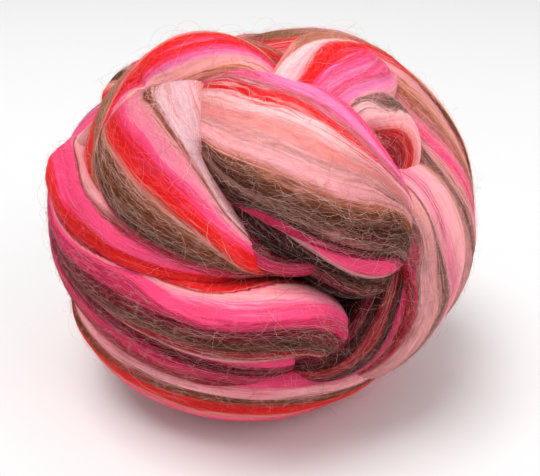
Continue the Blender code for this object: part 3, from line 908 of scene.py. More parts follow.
def linear(dye):
    """A dye's colour as linear light."""
    share = np.array(DYES[dye], float) / 255
    return np.where(share <= 0.04045, share / 12.92, ((share + 0.055) / 1.055) ** 2.4)


def solid(colour):
    """A colour with nothing see-through about it."""
    return (*colour, 1.0)


def lattice(x, y, seed):
    """Smooth noise from -1 to 1."""
    wide, tall = 97, 89
    grid = np.random.default_rng(seed).uniform(-1, 1, (wide, tall))
    x, y = np.broadcast_arrays(x, y)
    i, j = np.floor(x).astype(int), np.floor(y).astype(int)
    s, t = x - i, y - j
    s, t = s * s * (3 - 2 * s), t * t * (3 - 2 * t)
    a, b, c, d = i % wide, (i + 1) % wide, j % tall, (j + 1) % tall
    low = grid[a, c] * (1 - s) + grid[b, c] * s
    high = grid[a, d] * (1 - s) + grid[b, d] * s
    return low * (1 - t) + high * t


def unit(vectors):
    return vectors / np.maximum(np.linalg.norm(vectors, axis=-1, keepdims=True), 1e-9)


def course(turn, rise):
    """The direction at a turn and a rise, in radians."""
    return np.stack([np.sin(turn) * np.cos(rise), -np.cos(turn) * np.cos(rise), np.sin(rise)], -1)


def envelope_point(turn, rise, sink):
    """The point that lies sink mm inside the envelope."""
    way = course(math.radians(turn), math.radians(rise))
    half_height = CROWN_RISE if way[2] > 0 else BASE_DROP
    reach = np.array([HALF_WIDTH, HALF_DEPTH, half_height])
    return way * reach - unit(way / reach) * sink


def outward_at(points):
    """The envelope's outward direction beside each point."""
    half_height = np.where(points[..., 2] > 0, CROWN_RISE, BASE_DROP)
    side = np.ones_like(half_height)
    return unit(points / np.stack([side * HALF_WIDTH, side * HALF_DEPTH, half_height], -1) ** 2)


def spline(knots, values, at):
    """A natural cubic spline through the values at the knots."""
    gaps = np.diff(knots)
    slopes = np.diff(values, axis=0) / gaps[:, None]
    count = len(knots)
    system = np.eye(count)
    right = np.zeros_like(values)
    for i in range(1, count - 1):
        system[i, i - 1 : i + 2] = gaps[i - 1], 2 * (gaps[i - 1] + gaps[i]), gaps[i]
        right[i] = 6 * (slopes[i] - slopes[i - 1])
    bend = np.linalg.solve(system, right)
    i = np.clip(np.searchsorted(knots, at) - 1, 0, count - 2)
    gap = gaps[i][:, None]
    u = (at - knots[i])[:, None]
    v = gap - u
    return (
        (bend[i] * v**3 + bend[i + 1] * u**3) / (6 * gap)
        + (values[i] / gap - bend[i] * gap / 6) * v
        + (values[i + 1] / gap - bend[i + 1] * gap / 6) * u
    )


def stripe_table(name):
    """A pass's dyes, its stations, and each stripe's right-hand border at them."""
    stations, *rows = STRIPES[name]
    dyes = [row[0] for row in rows]
    borders = [np.array(row[1:]) / 100 for row in rows[:-1]]
    borders.append(np.full(len(stations), STRAND_SPAN[1]))
    return dyes, np.array(stations) / 100, np.array(borders)


def spaced(borders):
    """The borders, each at least a thin stripe beyond the one before it."""
    steps = THIN_STRIPE * np.arange(borders.shape[-1])
    return np.maximum.accumulate(borders - steps, axis=-1) + steps


def eased(rows, reach):
    """Rows of values, each one's bends evened out over its neighbours."""
    padded = np.pad(rows, ((0, 0), (reach, reach)), "edge")
    window = np.hanning(2 * reach + 3)[1:-1]
    return np.stack([np.convolve(row, window / window.sum(), "valid") for row in padded])


class Pass:
    """One pass of the strand as a grid of points: rows along it, columns round it."""

    def __init__(self, name, rows, number):
        self.name = name
        self.number = number
        table = np.array(rows, float)
        middles = np.array([envelope_point(*row[:3]) for row in rows])
        steps = np.linalg.norm(np.diff(middles, axis=0), axis=1)
        knots = np.concatenate([[0.0], np.cumsum(steps)])
        self.along = np.linspace(0.0, knots[-1], int(round(knots[-1] / ROW_STEP)) + 1)
        line = spline(knots, np.hstack([middles, table[:, 3:5]]), self.along)
        from_end = np.minimum(self.along, knots[-1] - self.along)
        tuck = np.clip(from_end / (END_ROUND * line[:, 3]), 0.0, 1.0)
        close = np.sqrt(1 - (1 - tuck) ** 2)
        self.middles, self.wide, self.thick = line[:, :3], line[:, 3] * close, line[:, 4] * close
        self.make_columns()
        self.make_strand()
        self.make_grid()

    def make_columns(self):
        """Columns by their place across, 0 at the left-hand shoulder and 1 at the right."""
        left, right = -OUTER_SPILL, 1 + OUTER_SPILL
        half_way_round = math.pi * math.hypot(self.wide.max(), self.thick.max()) / math.sqrt(2)
        self.outer = int(round(half_way_round * (right - left) / COLUMN_STEP))
        across = np.linspace(left, right, self.outer)
        under = np.linspace(right, left, UNDER_COLUMNS + 2)[1:-1]
        self.across = np.concatenate([across, under])
        far_round = np.linspace(right, 2 + left, UNDER_COLUMNS + 2)[1:-1]
        self.angles = math.pi * (1 - np.concatenate([across, far_round]))

    def make_strand(self):
        """Each column's place in the strand, which keeps to its stripe along the run."""
        self.dyes, stations, borders = stripe_table(self.name)
        share = self.along / self.along[-1]
        lines = eased([np.interp(share, stations, border) for border in borders], EASE_ROWS)
        left = np.full((1, len(share)), STRAND_SPAN[0])
        self.borders = spaced(np.concatenate([left, lines]).T)
        self.places = spaced(np.concatenate([left[0, :1], borders.mean(1)]))
        self.strand = np.stack([np.interp(self.across, line, self.places) for line in self.borders])

    def make_relief(self):
        """The ridges' height above the plain section, in mm, with sharp grooves between."""

        def layer(count, fade, rise, seed, sway=0.0):
            return rise * lattice(self.strand * count + sway, self.along[:, None] / fade, seed)

        height = layer(*SWELL, SEED + self.number)
        for k, (count, fade, rise) in enumerate(RIDGES):
            sway = layer(*RIDGE_SWAY, SEED + 50 + k)
            noise = layer(count, fade, 1.0, SEED * (k + 3) + self.number, sway)
            height = height + rise * (RIDGE_SLOPE * np.abs(noise) - GROOVE_SHARE)
        self.relief = height * np.clip(self.wide[:, None] / FULL_RELIEF, LEAST_RELIEF, 1.0)

    def make_grid(self):
        """The points, their outward normals and the way that the fibres flow."""
        run = unit(np.gradient(self.middles, axis=0))
        outward = outward_at(self.middles)
        outward = unit(outward - run * np.sum(outward * run, axis=1, keepdims=True))
        sideways = np.cross(run, outward)[:, None]
        outward = outward[:, None]
        c, s = np.cos(self.angles), np.sin(self.angles)
        power = 2 / SECTION_FULLNESS
        side = (np.sign(c) * np.abs(c) ** power)[:, None]
        crown = (np.sign(s) * np.abs(s) ** power)[:, None]
        wide, thick = self.wide[:, None, None], self.thick[:, None, None]
        grid = self.middles[:, None] + sideways * (wide * side) + outward * (thick * crown)
        self.normals = unit(sideways * (thick * c[:, None]) + outward * (wide * s[:, None]))
        self.make_relief()
        self.grid = grid + self.normals * self.relief[..., None]
        self.grid[..., 2] = np.maximum(self.grid[..., 2], -WAIST_HEIGHT + BASE_STEP * self.number)
        down_row, down_column = np.gradient(self.grid, axis=(0, 1))
        by_row, by_column = np.gradient(self.strand)
        lean = by_row / np.where(np.abs(by_column) < 1e-5, 1e-5, by_column)
        self.flow = unit(down_row - down_column * np.clip(lean, -6, 6)[..., None])

    def at(self, row, strand):
        """Points and normals at float rows and strand places, on the outer side."""
        row = np.clip(row, 0, len(self.along) - 1.001)
        lines = self.borders[np.round(row).astype(int)]
        across = np.array([np.interp(place, self.places, line) for place, line in zip(strand, lines)])
        column = np.clip((across + OUTER_SPILL) / (1 + 2 * OUTER_SPILL), 0, 1) * (self.outer - 1.001)
        return between(self.grid, row, column), unit(between(self.normals, row, column))

    def dye_at(self, strand):
        """The stripes' colour at each strand place."""
        index = np.clip(np.searchsorted(self.places[1:], strand), 0, len(self.dyes) - 1)
        return np.array([linear(dye) for dye in self.dyes])[index]


def between(grid, row, column):
    """Values between a grid's rows and columns, which run on round it."""
    i, j = row.astype(int), column.astype(int)
    s, t = row - i, column - j
    if grid.ndim > 2:
        s, t = s[..., None], t[..., None]
    n = (j + 1) % grid.shape[1]
    near = grid[i, j] * (1 - t) + grid[i, n] * t
    far = grid[i + 1, j] * (1 - t) + grid[i + 1, n] * t
    return near * (1 - s) + far * s


def inner_body():
    """The inner body's points and lie: a plain ellipsoid in rings, then its two tips."""
    rise = np.linspace(-math.pi / 2, math.pi / 2, BODY_RINGS + 2)[1:-1]
    b, a = np.meshgrid(rise, np.linspace(0, 2 * math.pi, BODY_TURNS, endpoint=False), indexing="ij")
    way = course(a, b)
    high = np.where(way[..., 2] > 0, CROWN_RISE, BASE_DROP)
    reach = np.stack([HALF_WIDTH + 0 * high, HALF_DEPTH + 0 * high, high], -1) - BODY_SINK
    tips = [[0, 0, BODY_SINK - BASE_DROP], [0, 0, CROWN_RISE - BODY_SINK]]
    points = np.concatenate([(way * reach).reshape(-1, 3), tips])
    points[:, 2] = np.maximum(points[:, 2], BODY_LIFT - WAIST_HEIGHT)
    turned = np.concatenate([a.ravel() / math.pi * 3, [0, 0]])
    risen = np.concatenate([b.ravel(), [-1.5, 1.5]])
    # The third value is a low openness, which gives the body painted crease shade.
    return points, np.stack([0.5 + 0.1 * turned, risen, 0.3 + 0 * risen], -1)


def closed_rings(rings, columns, walls=None):
    """The faces of rings that two tips close, and their corners' places on a unit map.

    The rings' points come first, then the tips. A flat strip has one wall.
    """
    walls = walls or columns
    i, j = np.meshgrid(np.arange(rings - 1), np.arange(walls), indexing="ij")
    low, high, after = i * columns, (i + 1) * columns, (j + 1) % columns
    quads = np.stack([low + j, low + after, high + after, high + j], -1).reshape(-1, 4)
    wall = np.arange(walls)
    after = (wall + 1) % columns
    last, tip = (rings - 1) * columns, wall * 0 + rings * columns
    first_fan = np.stack([after, wall, tip], -1)
    last_fan = np.stack([last + wall, last + after, tip + 1], -1)

    def spot(place, ring):
        return np.stack(np.broadcast_arrays(place / walls, (ring + 1) / (rings + 1)), -1)

    quad_map = np.stack([spot(j, i), spot(j + 1, i), spot(j + 1, i + 1), spot(j, i + 1)], -2)
    first_map = np.stack([spot(wall + 1, 0), spot(wall, 0), spot(wall + 0.5, -1)], -2)
    last_map = np.stack([spot(wall, rings - 1), spot(wall + 1, rings - 1), spot(wall + 0.5, rings)], -2)
    faces = [quads, np.concatenate([first_fan, last_fan])]
    return faces, [quad_map.reshape(-1, 4, 2), np.concatenate([first_map, last_map])]


def placed(points):
    """Points about the envelope's middle, in mm, as metres above the ground."""
    place = points + np.array([SHIFT_RIGHT, SHIFT_BACK, WAIST_HEIGHT])
    place[..., 2] = np.maximum(place[..., 2], 0.0)
    return place * MM


def fill(layer, key, values, kind=np.float32):
    """Sets one value of everything in a mesh's layer, from a list of arrays."""
    layer.foreach_set(key, np.concatenate([np.ravel(value) for value in values]).astype(kind))


def make_piece(name, points, faces, bake_map, material, **layers):
    """A piece of the roving from its points, its faces' corners and its layers."""
    mesh = bpy.data.meshes.new(name)
    mesh.vertices.add(len(points))
    fill(mesh.vertices, "co", [placed(points)])
    sizes = np.concatenate([np.full(len(part), part.shape[1]) for part in faces])
    mesh.loops.add(int(sizes.sum()))
    fill(mesh.loops, "vertex_index", faces, np.int32)
    mesh.polygons.add(len(sizes))
    fill(mesh.polygons, "loop_start", [np.cumsum(sizes) - sizes], np.int32)
    mesh.update(calc_edges=True)
    mesh.shade_smooth()
    fill(mesh.uv_layers.new(name="OFBake").uv, "vector", bake_map)
    for key, values in layers.items():
        if key == "tint":
            fill(mesh.attributes.new(key, "FLOAT_COLOR", "POINT").data, "color", [values])
        else:
            fill(mesh.attributes.new(key, "FLOAT_VECTOR", "POINT").data, "vector", [values])
    mesh.materials.append(material)
    piece = bpy.data.objects.new(name, mesh)
    bpy.context.scene.collection.objects.link(piece)
    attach(piece, "root")
    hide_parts("roving")


def ringed_piece(name, points, rings, columns, lie, material):
    """A closed piece of rings of points and its two tips."""
    faces, bake_map = closed_rings(rings, columns)
    bake_map = [MAP_EDGE + (1 - 2 * MAP_EDGE) * part for part in bake_map]
    make_piece(name, points, faces, bake_map, material, lie=lie)


def pass_piece(one, surface):
    """The closed surface of a pass."""
    level, slope, least, most = RIDGE_OPENNESS
    # The grooves count as less open than the ridges, which gives them painted shade.
    openness = surface.openness(one.grid) * np.clip(level + slope * one.relief, least, most)
    lie = np.stack([one.strand, one.along[:, None] / LIE_UNIT + 0 * one.strand, openness], -1)
    lie = np.concatenate([lie[1:-1].reshape(-1, 3), lie[:1, 0], lie[-1:, 0]])
    points = np.concatenate([one.grid[1:-1].reshape(-1, 3), one.middles[:1], one.middles[-1:]])
    wool = striped_wool(one.name, one.dyes, one.places, one.number)
    ringed_piece(one.name, points, len(one.along) - 2, len(one.across), lie, wool)


def body_piece():
    """The inner body, which closes the view between the passes with dark painted shade."""
    points, lie = inner_body()
    dyes, _, borders = stripe_table("inner_body")
    wool = striped_wool("inner_body", dyes, [STRAND_SPAN[0], *borders[:, 0]], BODY_NUMBER)
    ringed_piece("inner_body", points, BODY_RINGS, BODY_TURNS, lie, wool)


def fibre_piece(name, lines, thick, tints, material, sides):
    """Fibres as one piece of pointed tubes, or with two sides of flat strips."""
    count, points = lines.shape[:2]
    run = unit(np.gradient(lines, axis=1))
    side = unit(np.cross(run, outward_at(lines)))
    up = np.cross(side, run)
    taper = np.sin(np.linspace(0, math.pi, points)[1:-1]) ** 0.35 * thick / 2
    start, walls = (math.pi / 2, sides) if sides > 2 else (math.pi, 1)
    angles = (start - 2 * math.pi * np.arange(sides) / sides)[:, None]
    spread = np.cos(angles) * side[:, 1:-1, None] + np.sin(angles) * up[:, 1:-1, None]
    rings = lines[:, 1:-1, None] + spread * taper[:, None, None]
    whole = np.concatenate([rings.reshape(count, -1, 3), lines[:, :1], lines[:, -1:]], 1)
    size = whole.shape[1]
    faces, bake_map = closed_rings(points - 2, sides, walls)
    number = np.arange(count)
    faces = [(part + size * number[:, None, None]).reshape(-1, part.shape[1]) for part in faces]
    cells = math.ceil(math.sqrt(count))
    corner = np.stack([number % cells, number // cells], -1)[:, None, None]
    bake_map = [(CELL_EDGE + (1 - 2 * CELL_EDGE) * part + corner) / cells for part in bake_map]
    tint = np.concatenate([np.repeat(tints, size, axis=0), np.ones((count * size, 1))], 1)
    make_piece(name, whole.reshape(-1, 3), faces, bake_map, material, tint=tint)


class Nodes:
    """Shorthand for building a wool's node tree."""

    def __init__(self, name):
        self.material = bpy.data.materials.new(name)
        self.material.use_nodes = True
        self.tree = self.material.node_tree
        self.shader = self.tree.nodes["Principled BSDF"]
        self.shader.inputs["Roughness"].default_value = 0.9
        self.shader.inputs["Sheen Weight"].default_value = 0.03
        self.shader.inputs["Sheen Roughness"].default_value = 0.45
        self.shader.inputs["Sheen Tint"].default_value = (1.0, 0.78, 0.8, 1.0)
        self.shader.inputs["Specular IOR Level"].default_value = 0.04

    def add(self, kind, **settings):
        node = self.tree.nodes.new(kind)
        for key, value in settings.items():
            setattr(node, key, value)
        return node

    def feed(self, socket, value):
        """Links an output to a socket, or sets the socket to a constant."""
        if isinstance(value, bpy.types.NodeSocket):
            self.tree.links.new(value, socket)
        else:
            socket.default_value = value

    def fed(self, node, *values):
        """A node with the values at its first inputs."""
        for socket, value in zip(node.inputs, values):
            self.feed(socket, value)
        return node

    def result(self, operation, *values, clamp=False):
        node = self.add("ShaderNodeMath", operation=operation, use_clamp=clamp)
        return self.fed(node, *values).outputs[0]

    def total(self, first, *others):
        for other in others:
            first = self.result("ADD", first, other)
        return first

    def product(self, first, *others):
        for other in others:
            first = self.result("MULTIPLY", first, other)
        return first

    def joined(self, kind, *values):
        """A vector or a colour from its parts."""
        return self.fed(self.add(kind), *values).outputs[0]

    def parted(self, kind, whole):
        """A vector's or a colour's parts."""
        return self.fed(self.add(kind), whole).outputs

    def noise(self, lie, across, along, detail, offset):
        """Noise from 0 to 1 over the strand's lie, with the columns of NOISES."""
        place = self.add("ShaderNodeVectorMath", operation="MULTIPLY_ADD")
        self.fed(place, lie, (across, along, 0.0), offset)
        node = self.add("ShaderNodeTexNoise")
        node.inputs["Scale"].default_value = 1.0
        node.inputs["Detail"].default_value = detail
        self.feed(node.inputs["Vector"], place.outputs[0])
        return node.outputs["Fac"]

    def ranged(self, value, low, high, to_low, to_high):
        node = self.add("ShaderNodeMapRange")
        return self.fed(node, value, low, high, to_low, to_high).outputs["Result"]

    def mix(self, kind, share, first, second):
        node = self.add("ShaderNodeMix", data_type="RGBA", blend_type=kind)
        for key, value in ((0, share), (6, first), (7, second)):
            self.feed(node.inputs[key], value)
        return node.outputs[2]

    def stripe_ramp(self, place, dyes, places):
        """The stripes' colour at a place across the strand."""
        node = self.add("ShaderNodeValToRGB")
        low, high = STRAND_SPAN
        self.feed(node.inputs["Fac"], self.ranged(place, low, high, 0.0, 1.0))
        stops = node.color_ramp.elements
        stops[0].position, stops[0].color = 0.0, solid(linear(dyes[0]))
        stops[1].position, stops[1].color = 1.0, solid(linear(dyes[-1]))
        for k in range(len(dyes) - 1):
            before, border, after = places[k : k + 3]
            blend = min(STRIPE_BLEND, 0.45 * min(border - before, after - border))
            for at, dye in ((border - blend, dyes[k]), (border + blend, dyes[k + 1])):
                stops.new((at - low) / (high - low)).color = solid(linear(dye))
        return node.outputs["Color"]


def striped_wool(name, dyes, places, number):
    """Combed wool in blended stripes, with clumps and fibres along the strand."""
    nodes = Nodes(name + "_wool")
    lie = nodes.add("ShaderNodeAttribute", attribute_name="lie").outputs["Vector"]
    across, along, openness = nodes.parted("ShaderNodeSeparateXYZ", lie)
    openness = nodes.result("MULTIPLY", openness, 1.0, clamp=True)
    seed = (13.1 * number, 7.7 * number, 3.3 * number)
    crimp = nodes.noise(lie, *CRIMP[:3], seed)
    waved_across = nodes.total(across, nodes.ranged(crimp, *CRIMP[3:]))
    waved = nodes.joined("ShaderNodeCombineXYZ", waved_across, along)
    grounds = dict.fromkeys(("feather", "among", "fibre", "fine"), waved)
    offsets = {"strayed": (seed[2], seed[0], 9.0), "among": (seed[1], seed[2], 4.0)}
    noise, worth = {}, {}
    for key, row in NOISES.items():
        noise[key] = nodes.noise(grounds.get(key, lie), *row[:3], offsets.get(key, seed))
        worth[key] = nodes.ranged(noise[key], *row[3:])

    # The stripe that a place is in, with frayed borders, and among its fibres
    # streaks of those of a neighbouring stripe.
    place = nodes.total(across, worth["wander"], worth["feather"], worth["streak"])
    main = nodes.stripe_ramp(place, dyes, places)
    beside = nodes.stripe_ramp(nodes.total(place, worth["strayed"]), dyes, places)
    dyed = nodes.mix("MIX", worth["among"], main, beside)

    # Light and dark fibres, which show most in wool that isn't red, and painted shade
    # that darkens and reddens the creases.
    red = nodes.parted("ShaderNodeSeparateColor", dyed)["Red"]
    contrast = nodes.ranged(red, *CONTRAST)
    light = nodes.result("SUBTRACT", nodes.product(worth["fibre"], worth["fine"]), 1.0)
    light = nodes.result("MULTIPLY_ADD", light, contrast, 1.0)
    # Painted crease shade: less light, and a dark red tint, down in the creases.
    light = nodes.product(light, worth["clump"], nodes.ranged(openness, 0.0, 1.0, PAINTED_CREASE_LIGHT, 1.0))
    grey = nodes.joined("ShaderNodeCombineColor", light, light, light)
    deep = nodes.mix("MULTIPLY", nodes.ranged(openness, *PAINTED_TINT_STRENGTH), dyed, solid(PAINTED_CREASE_TINT))
    wool = nodes.mix("MULTIPLY", 1.0, deep, grey)

    # Single pale fibres: thin lines that wander at a small angle to the strand.
    strewn = []
    for k, (lean, count, run, weight) in enumerate(PALE_LINES):
        leaning = nodes.result("MULTIPLY_ADD", along, lean, waved_across)
        leaning = nodes.joined("ShaderNodeCombineXYZ", leaning, along)
        level = nodes.noise(leaning, count, run, 0.0, (seed[1] + 5.3 * k, seed[0], 40.0))
        off = nodes.result("ABSOLUTE", nodes.result("SUBTRACT", level, 0.5))
        strewn.append(nodes.ranged(off, 0.0, PALE_LINE_EDGE, weight, 0.0))
    # The pale lines fade down in the creases with the painted shade.
    strewn = nodes.product(
        nodes.result("MAXIMUM", nodes.result("MAXIMUM", strewn[0], strewn[1]), strewn[2]),
        worth["fade"],
        nodes.ranged(openness, 0.0, 1.0, PALE_IN_CREASE, 1.0),
        contrast,
    )
    paler_wool = nodes.mix("MIX", nodes.ranged(red, *PALENESS), dyed, solid(linear("cream")))
    nodes.feed(nodes.shader.inputs["Base Color"], nodes.mix("MIX", strewn, wool, paler_wool))

    bump = nodes.add("ShaderNodeBump")
    bump.inputs["Strength"].default_value, bump.inputs["Distance"].default_value = BUMPS
    pairs = zip((noise["fibre"], noise["fine"], strewn), BUMP_SHARES)
    nodes.feed(bump.inputs["Height"], nodes.total(*(nodes.product(*pair) for pair in pairs)))
    nodes.feed(nodes.shader.inputs["Normal"], bump.outputs[0])
    return nodes.material


def fibre_wool():
    """Single fibres, each in its own tint."""
    nodes = Nodes("fibre_wool")
    tint = nodes.add("ShaderNodeAttribute", attribute_name="tint")
    nodes.feed(nodes.shader.inputs["Base Color"], tint.outputs["Color"])
    return nodes.material


class Surface:
    """The bundle's outermost surface, by direction from the envelope's middle."""

    def __init__(self, passes):
        self.passes = passes
        points = [one.grid.reshape(-1, 3) for one in passes] + [inner_body()[0]]
        grids = [one.grid.shape[:2] for one in passes] + [(BODY_RINGS, BODY_TURNS)]
        faces = [closed_rings(*grid)[0][0] for grid in grids]
        starts = np.cumsum([0] + [len(part) for part in points[:-1]])
        body_faces = len(faces[-1])
        owners = [np.full(len(part), k) for k, part in enumerate(faces[:-1])]
        self.owners = np.concatenate(owners + [np.full(body_faces, -1)])
        strands = [one.strand[:-1].ravel() for one in passes]
        self.strands = np.concatenate(strands + [np.zeros(body_faces)])
        runs = [one.flow[:-1].reshape(-1, 3) for one in passes]
        self.runs = np.concatenate(runs + [np.tile([1.0, 0.0, 0.0], (body_faces, 1))])
        corners = np.concatenate([part + start for part, start in zip(faces, starts)])
        self.scan(BVHTree.FromPolygons(np.concatenate(points).tolist(), corners.tolist()))

    def scan(self, tree):
        """Casts one ray inwards for each step of turn and rise."""
        turn = np.radians(np.arange(-180, 180, SCAN_STEP))
        rise = np.radians(np.arange(-90, 90 + SCAN_STEP / 2, SCAN_STEP))
        b, a = np.meshgrid(rise, turn, indexing="ij")
        way = course(a, b)
        far = 2 * HALF_WIDTH
        self.reach = np.zeros(a.shape)
        self.face = np.zeros(a.shape, int)
        for spot in np.ndindex(a.shape):
            outward = Vector(way[spot])
            _, _, index, distance = tree.ray_cast(outward * far, -outward)
            self.reach[spot] = far - distance
            self.face[spot] = index
        self.hull = self.reach
        side = CREASE_WINDOW // 2
        for _ in range(CREASE_PASSES):
            wide = np.pad(self.hull, ((0, 0), (side, side)), "wrap")
            level = sum(wide[:, k : k + len(turn)] for k in range(CREASE_WINDOW)) / CREASE_WINDOW
            tall = np.pad(level, ((side, side), (0, 0)), "edge")
            self.hull = sum(tall[k : k + len(rise)] for k in range(CREASE_WINDOW)) / CREASE_WINDOW

    def cell(self, points):
        """The scan's float rows and columns in the points' directions, and those."""
        way = unit(points)
        rise = np.degrees(np.arcsin(np.clip(way[..., 2], -1, 1)))
        turn = np.degrees(np.arctan2(way[..., 0], -way[..., 1]))
        row = np.clip((rise + 90) / SCAN_STEP, 0, self.reach.shape[0] - 1.001)
        return row, ((turn + 180) / SCAN_STEP) % self.reach.shape[1], way

    def reach_at(self, points):
        """The surface's distance from the middle in the points' directions, and those."""
        row, column, way = self.cell(points)
        return between(self.reach, row, column), way

    def face_at(self, points):
        row, column, _ = self.cell(points)
        return self.face[np.round(row).astype(int), np.round(column).astype(int) % self.face.shape[1]]

    def openness(self, points):
        """From 1 in the open to 0 deep in a crease, by the depth below the nearby surface: it sets the
        painted crease shade.
        """
        depth = between(self.hull, *self.cell(points)[:2]) - np.linalg.norm(points, axis=-1)
        return np.clip(1 - (depth - CREASE_START) / (CREASE_DEPTH - CREASE_START), 0, 1)

    def colours(self, faces):
        """The wool's colour on each face: its dye, and the painted shade colour on the inner body's."""
        found = np.tile(linear("shade_umber"), (len(faces), 1))
        for k, one in enumerate(self.passes):
            mine = self.owners[faces] == k
            found[mine] = one.dye_at(self.strands[faces[mine]])
        return found

    def scattered(self, count, random):
        """Random points spread evenly over the surface above its flat spot, and their faces."""
        way = unit(random.normal(size=(count * 2, 3)))
        points = way * self.reach_at(way)[0][:, None]
        points = points[points[:, 2] > 4 - WAIST_HEIGHT][:count]
        return points, self.face_at(points)


def laid_lines(surface, random):
    """Fibres that lie along their own pass, in the open."""
    count, points, low, high, _ = LAID_FIBRES
    starts, faces = surface.scattered(count * 3, random)
    shares = np.interp(surface.colours(faces)[:, 0], *LAID_SHARES)
    chosen = random.uniform(0.0, 1.0, len(starts)) < shares
    lines, tints = [], []
    for start, face in zip(starts[chosen], faces[chosen]):
        owner = surface.owners[face]
        if owner < 0 or len(lines) >= count:
            continue
        one = surface.passes[owner]
        long = random.uniform(low, high)
        row = np.argmin(np.linalg.norm(one.middles - start, axis=1)) + random.uniform(-0.5, 0.5)
        rows = row + np.linspace(-0.5, 0.5, points) * long / ROW_STEP
        first, last = 1.0, len(one.along) - 2.0
        rows = np.clip(rows + max(first - rows[0], 0.0), first, last)
        if rows[-1] - rows[0] < LAID_LEAST * low / ROW_STEP:
            continue
        drift = random.normal() * LAID_DRIFT * np.linspace(-1, 1, points)
        swing = random.uniform(*LAID_SWAY)
        sway = swing * np.sin(random.uniform(*LAID_PACE) * np.arange(points) + random.uniform(0, 6))
        strand = surface.strands[face] + random.uniform(-LAID_SPREAD, LAID_SPREAD) + drift + sway
        place, normal = one.at(rows, strand)
        lines.append(place + normal * random.uniform(0.0, LAID_ABOVE))
        tints.append(one.dye_at(strand[points // 2 : points // 2 + 1])[0])
    return np.array(lines), np.array(tints)


def crossing_lines(surface, random, settings, spread, rise, matted):
    """Fibres that wander over the bundle, crimped, and more of them where it is brown."""
    count, points, low, high, _ = settings
    starts, faces = surface.scattered(4 * count, random)
    share = surface.openness(starts) ** 2 * np.interp(surface.colours(faces)[:, 0], *matted)
    kept = np.flatnonzero(random.uniform(0.0, 1.0, len(starts)) < share)[:count]
    starts, faces, count = starts[kept], faces[kept], len(kept)
    heading = surface.runs[faces] * np.sign(random.normal(size=(count, 1)))
    turn = random.normal(size=count) * spread
    step = random.uniform(low, high, count) / (points - 1)
    curl = random.normal(size=count) * CURL / points
    crimp = random.uniform(*CRIMP_TURN, count)
    phase = random.uniform(0, 6.3, count)
    pace = np.minimum(2 * math.pi * step / random.uniform(*CRIMP_STEP, count), CRIMP_PACE)
    line = [starts]
    for k in range(1, points):
        outward = outward_at(line[-1])
        side = unit(np.cross(outward, heading))
        heading = unit(np.cross(side, outward))
        turn = turn + curl + crimp * np.cos(phase + pace * k)
        way = np.cos(turn)[:, None] * heading + np.sin(turn)[:, None] * side
        line.append(line[-1] + way * step[:, None])
    reach, way = surface.reach_at(np.stack(line, 1))
    smooth = reach.copy()
    for _ in range(EASE_PASSES):
        smooth[:, 1:-1] = (smooth[:, :-2] + smooth[:, 1:-1] * 2 + smooth[:, 2:]) / 4
        smooth = np.maximum(smooth, reach - SINK_LEAST)
    smooth = np.minimum(smooth, reach + BRIDGE)
    above = random.uniform(*LIE_ABOVE, count)[:, None] + rise(random, count, points)
    return way * (smooth + above)[..., None], surface.colours(faces)


def no_rise(random, count, points):
    """The fibre lies on the wool all the way."""
    return np.zeros((count, points))


def lifted_rise(random, count, points):
    """The end of a short fibre stands a little off the wool."""
    share = np.linspace(0, 1, points)[None]
    return share**1.5 * random.uniform(*LIFTED, (count, 1))


def arched_rise(random, count, points):
    """One end, or the middle, stands off the wool."""
    share = np.linspace(0, 1, points)[None]
    arch = np.where(random.uniform(size=(count, 1)) < 0.5, np.sin(share * math.pi), share**1.6)
    return arch * random.gamma(2.0, 1.1, (count, 1)).clip(*ARCHED)


def paler(tints, random, dye, low, high, scales=EVEN_SHARES):
    """Tints mixed towards a dye by random shares, which are scaled by how red each is."""
    share = low + (high - low) * random.uniform(0.0, 1.0, (len(tints), 1)) ** 2
    share = share * np.interp(tints[:, :1], *scales)
    return tints * (1 - share) + linear(dye) * share


def shaded(tints, surface, lines):
    """Tints with painted crease shade: darker and redder down in the creases, like the passes'."""
    open_share = surface.openness(lines[:, lines.shape[1] // 2])[:, None]
    deep = np.clip(CREASE_OPEN - open_share, 0.0, CREASE_FULL)
    light = PAINTED_CREASE_LIGHT + (1 - PAINTED_CREASE_LIGHT) * open_share
    return tints * (1 - deep + deep * np.array(PAINTED_CREASE_TINT)) * light


def add_fibres(surface):
    """All the fibres, from those that lie along the passes to the loosest."""
    random = np.random.default_rng(SEED)
    material = fibre_wool()
    lines, tints = laid_lines(surface, random)
    tints = shaded(paler(tints, random, "undyed", *LAID_PALENESS, PALE_OVER_BROWN), surface, lines)
    fibre_piece("laid_fibres", lines, LAID_FIBRES[4], tints, material, 2)
    for name, settings in (("stray_fibres", STRAY_FIBRES), ("cross_fibres", CROSS_FIBRES)):
        spread, *pale = TURN_AND_PALENESS[name]
        lines, tints = crossing_lines(surface, random, settings, spread, no_rise, BROWN_MATTED)
        tints = shaded(paler(tints, random, "undyed", *pale, PALE_OVER_BROWN), surface, lines)
        fibre_piece(name, lines, settings[4], tints, material, 2)
    for name, settings, rise in (
        ("fuzz", FUZZ_FIBRES, lifted_rise),
        ("flying_fibres", FLYING_FIBRES, arched_rise),
    ):
        spread, *pale = TURN_AND_PALENESS[name]
        lines, tints = crossing_lines(surface, random, settings, spread, rise, EVEN)
        fibre_piece(name, lines, settings[4], paler(tints, random, "pale", *pale), material, 3)


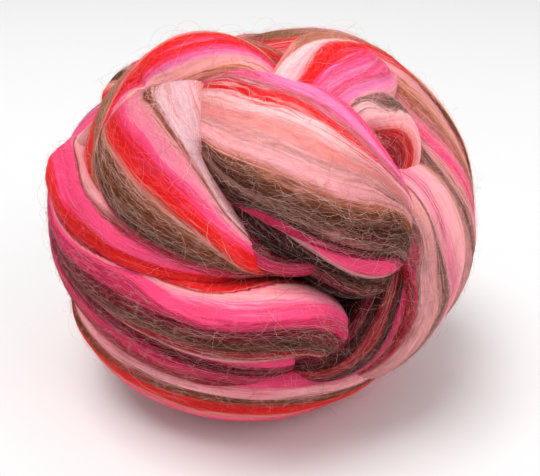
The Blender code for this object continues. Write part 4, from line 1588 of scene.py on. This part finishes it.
def add_ground():
    """The pale ground, which curves up all round."""
    flat, sides = 3.0, 64
    bend = [(flat, 0.0)]
    bend += [(flat + math.sin(math.radians(t)), 1.0 - math.cos(math.radians(t))) for t in range(10, 91, 10)]
    bend += [(flat + 1.0, 1.6)]
    turns = [2 * math.pi * k / sides for k in range(sides)]
    points = [(r * math.sin(turn), r * math.cos(turn), z) for r, z in bend for turn in turns]
    walls = closed_rings(len(bend), sides)[0][0]
    floor = bpy.data.meshes.new("floor")
    floor.from_pydata(points, [], [tuple(range(sides))[::-1], *walls.tolist()])
    floor.shade_smooth()
    pale = bpy.data.materials.new("pale_ground")
    pale.use_nodes = True
    shader = pale.node_tree.nodes["Principled BSDF"]
    shader.inputs["Base Color"].default_value = (0.80, 0.80, 0.80, 1.0)
    shader.inputs["Roughness"].default_value = 0.9
    floor.materials.append(pale)
    ground = bpy.data.objects.new("floor", floor)
    bpy.context.scene.collection.objects.link(ground)


def add_light():
    """A white room, a soft light from above on the left and a weaker one on the right."""
    scene = bpy.context.scene
    scene.view_settings.view_transform = "Standard"
    world = bpy.data.worlds.new("soft_room")
    world.use_nodes = True
    background = world.node_tree.nodes["Background"]
    background.inputs["Color"].default_value = (1.0, 1.0, 1.0, 1.0)
    background.inputs["Strength"].default_value = 0.55
    scene.world = world
    # Each light: its name, place and size in metres, and its power in watts.
    for name, place, size, power in (
        ("key", (-0.7, -0.7, 3.2), 1.6, 80.0),
        ("fill", (1.6, -1.4, 1.6), 1.5, 14.0),
    ):
        light = bpy.data.lights.new(name, "AREA")
        light.size = size
        light.energy = power
        lamp = bpy.data.objects.new(name, light)
        lamp.location = place
        lamp.rotation_euler = (Vector((0, 0, 0.07)) - Vector(place)).to_track_quat("-Z", "Y").to_euler()
        scene.collection.objects.link(lamp)


def add_camera():
    camera = bpy.data.cameras.new("camera")
    camera.sensor_width = 36.0
    camera.lens = CAMERA_LENS
    camera.shift_x = CAMERA_SHIFT
    eye = bpy.data.objects.new("camera", camera)
    high = math.radians(CAMERA_HIGH)
    eye.location = (0.0, -CAMERA_FAR * math.cos(high), CAMERA_AIM + CAMERA_FAR * math.sin(high))
    eye.rotation_euler = (math.pi / 2 - math.radians(CAMERA_TILT), 0.0, 0.0)
    bpy.context.scene.collection.objects.link(eye)
    bpy.context.scene.camera = eye


runs = {**PASSES, "hook_core": HOOK_CORE}
surface = Surface([Pass(name, rows, k) for k, (name, rows) in enumerate(runs.items())])
for one in surface.passes:
    pass_piece(one, surface)
body_piece()
add_fibres(surface)
add_ground()
add_light()
add_camera()
